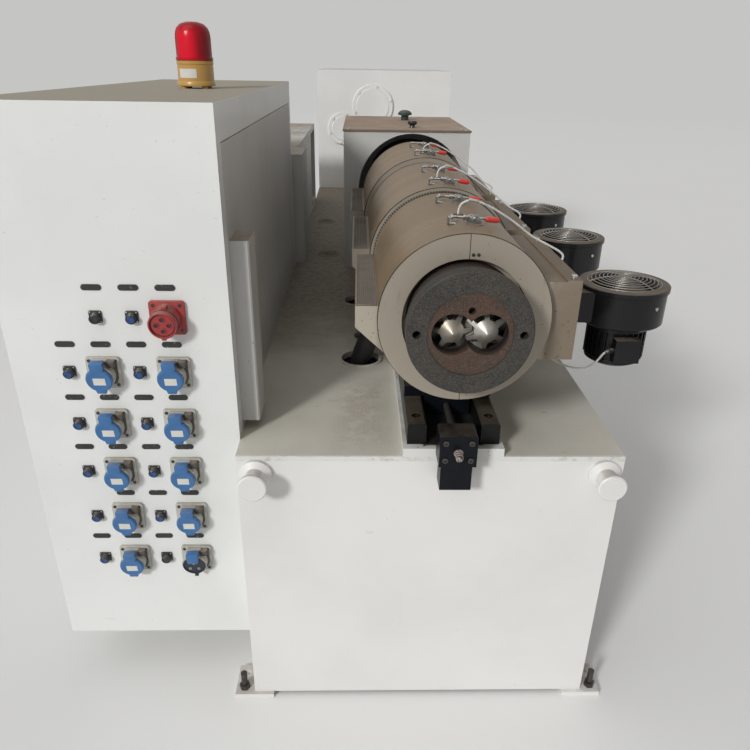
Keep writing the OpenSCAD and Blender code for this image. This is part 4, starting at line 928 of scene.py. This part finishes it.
def make_rod():
    """Adjuster rod: a battered thread in front, full collars in its bores and a thin shank."""
    sides, step, pitch = 24, 0.8, 8.0
    root, crest, shank, collar = 5.6, 8.2, 7.8, 10.0
    front, block, back = -88.0, -60.6, 189.5
    bm = bmesh.new()

    def ring(y, radii):
        return [bm.verts.new(at(AXIS_X + r * u, y, ROD_Z + r * v))
                for (u, v), r in zip(around(sides), radii)]

    def thread(y, k):
        return root + (crest - root) * abs(2 * ((y / pitch - k / sides) % 1) - 1)

    rings = []
    for n in range(int((block - front) / step)):
        y = front + n * step
        tip = min(1, 0.55 + n * step / 9)
        rings.append(ring(y, [thread(y, k) * tip for k in range(sides)]))
    rings += [ring(y, [r] * sides) for y, r in (
        (block, shank), (block, collar), (3, collar), (3.4, shank), (183, shank),
        (183.4, collar), (back, collar))]
    piece("threaded_rod", wall(bm, rings), "rod_steel", replaces=["adjuster_rod"], angle=30)


def make_serrated_edge():
    """Teeth between the first two covers, all round but where the carriage holds them."""
    r, y, carriage = 171, 445, -0.936
    spots = [(at(AXIS_X + r * u, y, AXIS_Z + r * v), (u, 0, v))
             for u, v in around(150) if v > carriage]
    grown("serrated_edge", bar_recipe("edge_teeth", "band_steel"), start_points(spots),
          "band_steel", across=0.0034, along=0.006, tall=0.007)


def make_rims():
    """Thin rolled rims on the covers' front edges."""
    bm = bmesh.new()
    for y, r in ((-11.0, 172.4), (450.6, 181.4), (950.6, 191.4)):
        join(bm, turned([(r + u, v) for u, v in around(6, 1.3)], 120, loop=True),
             stand((AXIS_X, y, AXIS_Z), (0, 1, 0)))
    piece("cover_rims", bm, "hose_rubber")


def make_latches():
    """Toggle latches: catch plate, T-shaped draw bar with nuts, pivot block and sleeved lever."""
    steel, grips = bmesh.new(), bmesh.new()
    nut = [(0, -2.6), (4.4, -2.6), (5.2, -1.8), (5.2, 1.8), (4.4, 2.6), (0, 2.6)]
    rivet = [(0, 0), (3.4, 0), (3.4, 1.2), (2.2, 2.2), (0, 2.2)]
    arm = [(-5, -6.5), (14, -6.5), (24, -4.5), (30, -3.2), (30, 3.2), (24, 4.5), (14, 6.5),
           (-5, 6.5)]
    for n, (y, cover) in enumerate(LATCHES):
        r = COVER_R[cover]
        place = on_cover(y, r, LATCH_TILT)
        tip = 1.5 - 1.2 * (n % 3)  # how high its lever ends; no two neighbours are alike

        def sag(x):
            """How far the cover's skin has fallen at x."""
            return -x * x / (2 * r)

        def bar(a, b, radius, sides):
            join(steel, tube([Vector(a), Vector(b)], radius, sides), place)

        join(steel, slab(rounded_outline(17, 17, 3), sag(-38) - 1.2, sag(-38) + 1.6, 0.5),
             place @ shifted(-40))
        join(steel, slab(rounded_outline(30, 20, 3), sag(8) - 1.2, sag(8) + 1.8, 0.5),
             place @ shifted(6))
        join(steel, slab(box_outline(2.4, 19, -47), sag(-47) - 1, 8.5, 0.5), place)
        join(steel, slab(box_outline(6.5, 19, -45), 6.8, 8.8, 0.5), place)
        bar((-41.5, -11.5, 8.4), (-41.5, 11.5, 10.2), 2.6, 12)
        bar((-42, 0, 9.3), (-4, 0, 10.5), 2.5, 12)
        for x in (-16, -9.5):
            join(steel, turned(nut, 6), place @ shifted(x, 0, 10) @ spun(90, "Y"))
        ear = [(-9, sag(8)), (19, sag(8)), (17, 10), (12, 15), (2, 17), (-5, 15.5), (-8, 9)]
        for side in (-1, 1):
            join(steel, slab(ear, -1.0, 1.0, 0.4), place @ shifted(0, side * 8.8) @ spun(90, "X"))
            join(steel, turned(rivet, 14),
                 place @ shifted(3, side * 9.6, 11) @ spun(-90 * side, "X"))
        bar((3, -9.5, 11), (3, 9.5, 11), 3.4, 14)
        bar((12.5, -9.5, 9), (12.5, 9.5, 9), 2.2, 12)
        join(steel, slab(arm, 10.2, 13.0, 0.7), place)
        lever = [(24, 0, 11.2), (32, 0, 10.6 + tip / 2), (50, 0, 10 + tip)]
        join(steel, tube(smooth_line(lever, 4), 2.7, 8), place)
        sleeve = smooth_line([(27, 0, 11), (38, 0, 10.4 + tip / 2), (54, 0, 9.9 + tip)], 6)
        thick = [5.0, 5.9] + [6.0] * (len(sleeve) - 4) + [5.7, 4.4]
        join(grips, tube(sleeve, thick, 16), place)
    piece("toggle_latches", steel, "latch_zinc", replaces=["cover_latches"])
    piece("latch_grips", grips, "red_sleeve", replaces=["latch_sleeves"])


# ---- Leads and hose ----

LEAD_R = 2.5
LEAD_GAP = 0.8
LEAD_X = INLET_X + LEAD_R + LEAD_GAP
PROBE_END = AXIS_Z - 71


def probe_route(y, r):
    """The middle line of a probe lead, in millimetres, as in the part's source."""
    top, duct, far = AXIS_Z + r, AXIS_Z + 74, y + 12
    return [(AXIS_X, y, top - 11.7), (AXIS_X, y, top + 10), (AXIS_X + 8, y - 1, top + 24),
            (AXIS_X + 30, y - 2, top + 29), (AXIS_X + 70, y + 4, top + 14),
            (AXIS_X + 120, far, top - 16), (AXIS_X + 165, y + 14, top - 48),
            (AXIS_X + 205, far, duct + 30), (INLET_X - 6, far, duct + 19),
            (LEAD_X + 2, far, duct + 8), (LEAD_X, far, duct - 10),
            (LEAD_X, far, AXIS_Z), (LEAD_X, far, PROBE_END)]


def motor_route():
    """The middle line of the first fan's lead, as in the part's source."""
    x, y, z, f = FAN_X, FAN_Y[0], FAN_Z - 195, DECK + LEAD_R + LEAD_GAP
    return [(x - 38.3, y - 78, z + 50), (x - 50, y - 78, z + 44), (x - 68, y - 76, z + 18),
            (x - 94, y - 70, z + 2), (x - 135, y - 60, z + 6), (x - 180, y - 44, z + 26),
            (x - 225, y - 20, z + 30), (x - 262, y + 20, z - 6), (x - 284, y + 70, z - 56),
            (x - 290, y + 110, f + 8), (x - 290, y + 150, f), (x - 290, y + 220, f)]


def make_lead(name, route, node, fittings, finish):
    """A lead along its route, with the fittings that it comes out of and ends in."""
    line = smooth_line(route, 6)
    bm = bmesh.new()
    join(bm, tube(line, LEAD_R, 10, uv=True), MACHINE)
    made = piece(name, bm, "lead_braid", replaces=[node], angle=60)
    ends = piece(name + "_fittings", fittings, finish)
    points = [at(*p) for p in line]


def make_probe_leads():
    """Braided leads with a crimp, out of black grommets in the covers' tops."""
    grommets = bmesh.new()
    grommet = [(0, -9), (6, -9), (6, -1), (10.5, -1), (10.5, 0.9), (9.5, 1.7), (4, 1.2), (0, 1.2)]
    crimp = [(0, -11), (2.9, -11), (3.5, -9), (3.5, 9), (2.9, 11), (0, 11)]
    ferrule = [(0, -1), (4.8, -1), (4.8, 5), (3.4, 9), (0, 9)]
    for n, (y, cover) in enumerate(PROBES):
        route = probe_route(y, COVER_R[cover])
        line = smooth_line(route, 6)
        a, b = line[len(line) // 4], line[len(line) // 4 + 1]
        bm = bmesh.new()
        join(grommets, turned(grommet, 24), stand((AXIS_X, y, AXIS_Z + COVER_R[cover])))
        join(bm, turned(crimp, 14), stand(a, b - a))
        join(bm, turned(ferrule, 12), stand((LEAD_X + 1.6, y + 12, PROBE_END)))
        make_lead(f"braided_lead_{n + 1}", route, f"probe_lead_{n + 1}", bm, "zinc_steel")
    piece("probe_grommets", grommets, "hose_rubber")


def make_motor_lead():
    (x, y, z), *_, (end_x, end_y, end_z) = motor_route()
    bm = bmesh.new()
    join(bm, turned([(0, 0), (6.2, 0), (6.2, 4), (5, 6), (3.6, 11), (0, 11)], 14),
         stand((x + 0.4, y, z), (-1, 0, -0.25)))
    join(bm, turned([(0, -2), (4.4, -2), (4.0, 3), (3.2, 12), (0, 12)], 14),
         stand((end_x, end_y, end_z + 1), (0, -1, 0.05)))
    make_lead("fan_motor_lead", motor_route(), "motor_lead", bm, "knob_black")


def hose_recipe():
    """Corrugated hose: a line whose radius ripples."""
    r = Recipe("corrugated_hose", radius=0.0285, ripple=0.08, folds=24)
    fine = r.node("GeometryNodeResampleCurve", None, {
        "Curve": r.given.outputs["Geometry"], "Count": 193})
    share = r.value("GeometryNodeSplineParameter", None, None, out="Factor")
    wave = (share * r.size("folds") * (2 * math.pi)).math("SINE")
    shaped = r.node("GeometryNodeSetCurveRadius", None, {
        "Curve": fine.outputs[0], "Radius": wave * r.size("ripple") + 1})
    round_hose = r.node("GeometryNodeCurvePrimitiveCircle", None, {
        "Resolution": 32, "Radius": r.size("radius")})
    hose = r.node("GeometryNodeCurveToMesh", None, {
        "Curve": shaped.outputs[0], "Profile Curve": round_hose.outputs[0], "Fill Caps": True})
    return r.end(hose.outputs[0], "hose_rubber")


def make_hose():
    """The hose leans out of its opening and bends under the second cover."""
    y = 545
    line = smooth_line([(-164, y, 690), (-154, y, 735), (-128, y, 805), (-98, y, 870),
                        (-74, y, 908)], 6)
    data = bpy.data.curves.new("hose_line", "CURVE")
    data.dimensions = "3D"
    spline = data.splines.new("POLY")
    spline.points.add(len(line) - 1)
    for point, spot in zip(spline.points, line):
        point.co = (*at(*spot), 1)
    grown("corrugated_hose", hose_recipe(), data, "hose_rubber", replaces=["air_hose"], angle=60)


# ---- Fans and ducts ----

def make_guards():
    """Wire guards over the fans, and the blade wheels under them."""
    spots = [(at(FAN_X, y, FAN_Z + 0.4), UP) for y in FAN_Y]
    grown("fan_guard_wires", guard_recipe(), start_points(spots), "guard_wire",
          replaces=["fan_guards"], angle=60)
    bm = bmesh.new()
    blades, sweep, low, rise = 7, 0.62, 5, 12
    for y in FAN_Y:
        place = stand((FAN_X, y, FAN_Z - 34))
        join(bm, turned([(0, 0), (24, 0), (24, 14), (18, 19), (0, 19)], 24), place)
        for k in range(blades):
            start = 2 * math.pi * k / blades
            turns = [(start + w * sweep, low + w * rise) for w in (0, 0.33, 0.66, 1)]
            blade = [[(r * math.cos(a), r * math.sin(a), z) for a, z in turns]
                     for r in (20, 29, 38, 47, 57, 66)]
            join(bm, thick_sheet(blade, 1.6), place)
    piece("blade_wheels", bm, "fan_black", angle=45)


def make_grilles():
    """Woven mesh over each left duct's outlet, held by a thin frame, over a dark sheet painted as
    the shade inside the duct.
    """
    frames, shades = bmesh.new(), bmesh.new()
    spots = []
    width, edge, wire, mesh_pitch = 40, 2.4, 1.1, 5
    for r, start, duct in zip(COVER_R, DUCT_Y, DUCT_L):
        x = AXIS_X - r - 22.8
        middle, length = start + duct / 2, duct - 6
        place = stand((x, middle, AXIS_Z + 22))
        # Painted shade: a dark sheet under the wires stands in for the shaded inside of the duct.
        join(shades, slab(box_outline(width - 2, length - 2), 0.05, 0.4), place)
        for side in (-1, 1):
            long_edge = box_outline(edge, length, side * (width - edge) / 2)
            end_edge = box_outline(width - 4.4, edge, 0, side * (length - edge) / 2)
            join(frames, slab(long_edge, 0, 2.2, 0.5), place)
            join(frames, slab(end_edge, 0, 2.2, 0.5), place)
        for k in range(8):
            join(frames, slab(box_outline(wire, length - 4, (k - 3.5) * 4.4), 0.5, 1.5), place)
        n = int(length / mesh_pitch)
        spots += [(at(x, middle + (k - (n - 1) / 2) * length / n, AXIS_Z + 23.2), RIGHT)
                  for k in range(n)]
    piece("outlet_frames", frames, "mesh_wire", replaces=["outlet_grilles"])
    piece("outlet_shades", shades, "mesh_shade")
    grown("woven_wires", bar_recipe("woven_wires", "mesh_wire"), start_points(spots), "mesh_wire",
          slot="band_steel", across=wire / 1000, along=wire / 1000, tall=0.036)


# ---- Panel fittings ----

def make_sockets():
    """Angled sockets: grey flange and collar, dark hinge beside a dark slab painted as the shadow
    on the flange's right, blue lid with a blank label and catch.
    """
    shells, shadow_slabs_and_hinges, lids, labels, inside = (bmesh.new() for _ in range(5))
    collar = [(0, -4), (31, -4), (29.5, 5), (27, 12), (29.8, 13), (29.8, 17.4), (28.6, 18.4),
              (0, 18.4)]
    lid = [(0, 18.6), (27.4, 18.6), (28.2, 20.4), (28.2, 24), (26.8, 26.5), (24.2, 27.4),
           (21.6, 26.6), (0, 26.6)]
    face = [(0, 19), (27, 19), (27, 22), (25, 22), (25, 20), (0, 20)]
    contact = [(2.0, 19.9), (3.4, 19.9), (3.4, 21.2), (2.0, 21.2)]
    for i, j in SOCKETS:
        place = on_panel(i, j)
        tilt = place @ shifted(-3, -3, 9) @ spun(9, "X")
        opened = (i, j) == OPEN_SOCKET
        join(shells, slab(rounded_outline(72, 72, 6), 0.2, 8, 1.2), place)
        join(shells, turned(collar, 44), tilt)
        # Painted shadow: a dark slab over the flange's right half stands for the shade beside the
        # collar; the box above it is the hinge.
        join(shadow_slabs_and_hinges, slab([(6, -28), (25, -25), (30.5, -12), (30.5, 24), (6, 30)], 4, 12, 3), place)
        join(shadow_slabs_and_hinges, slab(box_outline(17, 15, 21, 25), 7, 24, 3), place)
        join(shells, slab(box_outline(34, 6, -3, 31), 7, 20, 2), place)
        foot = 13 if opened else 20
        strap = [(-12.5, foot), (12.5, foot), (14.5, 30), (14.5, 41), (-14.5, 41), (-14.5, 30)]
        join(lids, slab(strap, 19.5, 27.2, 1.4), tilt)
        join(lids, slab(box_outline(29, 7, 0, 38.5), 9, 27, 2.4), tilt)
        if opened:
            join(inside, turned(face, 36), tilt)
            join(inside, slab(box_outline(9, 9, 3, -30), 12, 24, 1.4), tilt)
            for x, y in around(3, 12, 90):
                join(shells, turned(contact, 14, loop=True), tilt @ shifted(x, y - 4))
            continue
        join(lids, turned(lid, 44), tilt)
        join(lids, slab([(-12.5, -23), (-9.5, -33.5), (9.5, -33.5), (12.5, -23)], 19.5, 26.2, 1.4),
             tilt)
        join(labels, slab(box_outline(26, 17, 1, -2), 26.4, 27.3, 0.2, 1), tilt)
    piece("socket_shells", shells, "flange_plastic", replaces=["socket_flanges"])
    piece("socket_shadows_and_hinges", shadow_slabs_and_hinges, "hinge_brown")
    piece("socket_lids", lids, "socket_blue", replaces=["blue_sockets"])
    piece("socket_labels", labels, "blank_label")
    piece("open_socket_face", inside, "socket_inside")


def make_red_socket():
    """Red socket: flange, angled body, dark rings that are partly gasket and partly painted shade
    in the collar's gaps, keyed collar and a face with four holes.
    """
    shell, dark = bmesh.new(), bmesh.new()
    place = on_panel(*RED_SOCKET)
    tilt = place @ shifted(-3, -1, 8) @ spun(7, "X")
    body = [(0, -4), (33, -4), (31.0, 6), (27.5, 16), (27.5, 22), (29.6, 23.5), (29.6, 34.5),
            (28.6, 36), (26.4, 36), (25.2, 29.4), (23.4, 29.4), (23.4, 32), (0, 32)]
    join(shell, slab(rounded_outline(74, 74, 7), 0.2, 8, 1.4), place)
    join(shell, turned(body, 48), tilt)
    # Dark rings in the gaps round the collar: partly gasket, partly painted shade.
    for gasket_and_shade_ring in ([(27.2, 19.4), (30.3, 19.8), (30.3, 23), (27.2, 23)],
                   [(23.6, 29.2), (25.6, 29.2), (25.6, 31), (23.6, 31)]):
        join(dark, turned(gasket_and_shade_ring, 48, loop=True), tilt)
    join(shell, slab([(-6, -26), (-4.5, -33), (4.5, -33), (6, -26)], 22, 36.5, 1.4), tilt)
    join(shell, slab(box_outline(11, 12, 4, 31), 6, 22, 2.5), tilt)
    for x, y in around(4, 13):
        hole = tilt @ shifted(x, y)
        join(dark, turned([(0, 31.5), (4.8, 31.5), (4.8, 32.25), (0, 32.25)], 20), hole)
        join(shell, turned([(4.7, 31.5), (6.0, 31.5), (6.0, 33.6), (4.7, 33.6)], 20, loop=True),
             hole)
    piece("red_socket_body", shell, "socket_red", replaces=["red_socket"])
    piece("red_socket_holes", dark, "socket_inside")


def make_connectors():
    """Small connectors: square flange, ribbed collar and a moulded mouth with a key."""
    bodies, blue, grey = (bmesh.new() for _ in range(3))
    collar = [(0, 1), (11, 1), (11, 5), (9.8, 6), (9.8, 9), (10.8, 9.6), (10.8, 11), (10.0, 11.6),
              (10.8, 12.2), (10.8, 14), (9.8, 15), (8.4, 15), (8.4, 12.5), (0, 12.5)]
    mouth = [(0, 12), (8.1, 12), (8.1, 14.6), (7.2, 15.4), (5.6, 15.4), (5.0, 14.2), (0, 14.2)]
    for i, j in CONNECTORS:
        place = on_panel(i, j)
        tilt = place @ spun(12, "X")
        join(bodies, slab(rounded_outline(27, 27, 4), 0.2, 3, 0.6), place)
        join(bodies, turned(collar, 28), tilt)
        join(bodies, slab(box_outline(3, 2.6, 0, 7.6), 13, 15.9, 0.4), tilt)
        join(grey if (i, j) in GREY_CONNECTORS else blue, turned(mouth, 24), tilt)
    piece("connector_bodies", bodies, "connector_plastic", replaces=["small_connectors"])
    piece("blue_mouths", blue, "connector_blue")
    piece("grey_mouths", grey, "connector_grey")


def make_beacon():
    """Yellow base on four feet, ribbed red dome, and a blank silver label on the base."""
    x, y, z = BEACON_X, BEACON_Y, BEACON_FOOT
    base = bmesh.new()
    join(base, turned([(0, 6), (49, 6), (50.2, 7.2), (50.2, 15), (49, 17), (47.6, 18), (47.2, 58),
                       (48.4, 59.5), (48.4, 66), (46, 68.2), (0, 68.2)], 64), stand((x, y, z)))
    for u, v in around(4, 38, 45):
        join(base, turned([(0, 0), (8, 0), (8, 5), (6.5, 7), (0, 7)], 18), stand((x + u, y + v, z)))
    piece("beacon_stand", base, "beacon_yellow", replaces=["beacon_base"])

    ribs, rib = 96, 0.022
    dome = turned([(0, 0), (48.6, 0), (48.6, 7), (46.4, 8.5), (46.0, 54), (44.6, 66), (40.5, 77),
                   (31, 86), (16, 90.8), (0, 91.8)], ribs)
    for v in dome.verts:
        if math.hypot(v.co.x, v.co.y) > 30 and 10 < v.co.z < 75:
            k = 1 - rib * (round(math.atan2(v.co.y, v.co.x) / (2 * math.pi) * ribs) % 2)
            v.co.x *= k
            v.co.y *= k
    dome.transform(stand((x, y, z + 68)))
    piece("beacon_dome", dome, "beacon_red", replaces=["beacon_lens"], angle=50)

    label = bmesh.new()
    section = ((46.8, 26), (46.8, 48), (48.0, 48), (48.0, 26))
    rows = [[label.verts.new(at(x + r * math.cos(a), y + r * math.sin(a), z + up))
             for r, up in section] for a in (math.radians(-136 + 7.5 * k) for k in range(9))]
    piece("beacon_label", wall(label, rows), "blank_label")


for make in (make_probe_leads, make_motor_lead, make_small_screws, make_panel_screws, make_rod,
             make_serrated_edge, make_rims, make_latches, make_hose, make_guards, make_grilles,
             make_sockets, make_red_socket, make_connectors, make_beacon):
    make()

# ---- Floor, backdrop and lamps ----

BACKDROP = (0.56, 0.56, 0.55)


def make_floor():
    """A pale floor that fades into the backdrop far from the machine."""
    bm = bmesh.new()
    bmesh.ops.create_circle(bm, cap_ends=True, segments=96, radius=60)
    data = meshed("floor", bm)
    look = Look("floor")
    far = (look.x * look.x + look.y * look.y).math("SQRT").between(6, 26)
    cloud = look.noise(0.8, 4)
    tone = look.mix(cloud * 0.5, (0.80, 0.795, 0.78), (0.76, 0.755, 0.74))
    stone = look.skin(tone, cloud * 0.1 + 0.7, look.noise(40, 4), 0.001, 0.2)
    glow = look.node("ShaderNodeEmission", None, {"Color": BACKDROP, "Strength": 1.0})
    both = look.node("ShaderNodeMixShader", None, {
        0: far * look.watched(), 1: stone, 2: glow.outputs[0]})
    look.node("ShaderNodeOutputMaterial", None, {"Surface": both.outputs[0]})
    data.materials.append(look.material)
    shown("floor", data)


def make_studio():
    """Soft light from all round, with the backdrop's colour where it is looked at."""
    world = bpy.data.worlds.new("studio")
    bpy.context.scene.world = world
    world.use_nodes = True
    sky = Tree(world.node_tree)
    sky.tree.nodes.clear()
    soft = sky.node("ShaderNodeBackground", None, {"Color": (1, 1, 1), "Strength": 0.27})
    pale = sky.node("ShaderNodeBackground", None, {"Color": BACKDROP, "Strength": 1.0})
    both = sky.node("ShaderNodeMixShader", None, {
        0: sky.watched(), 1: soft.outputs[0], 2: pale.outputs[0]})
    sky.node("ShaderNodeOutputWorld", None, {"Surface": both.outputs[0]})


def sun(name, way, strength, spread):
    """A soft, even lamp that shines along a direction."""
    data = bpy.data.lights.new(name, "SUN")
    data.energy = strength
    data.angle = math.radians(spread)
    lamp = shown(name, data)
    lamp.matrix_world = Vector(way).to_track_quat("-Z", "Y").to_matrix().to_4x4()


make_floor()
make_studio()
sun("window", (0.54, 0.76, -0.46), 2.0, 10)
sun("roof", (0.32, 0.25, -1.0), 0.60, 50)
bpy.context.scene.view_settings.view_transform = "Standard"
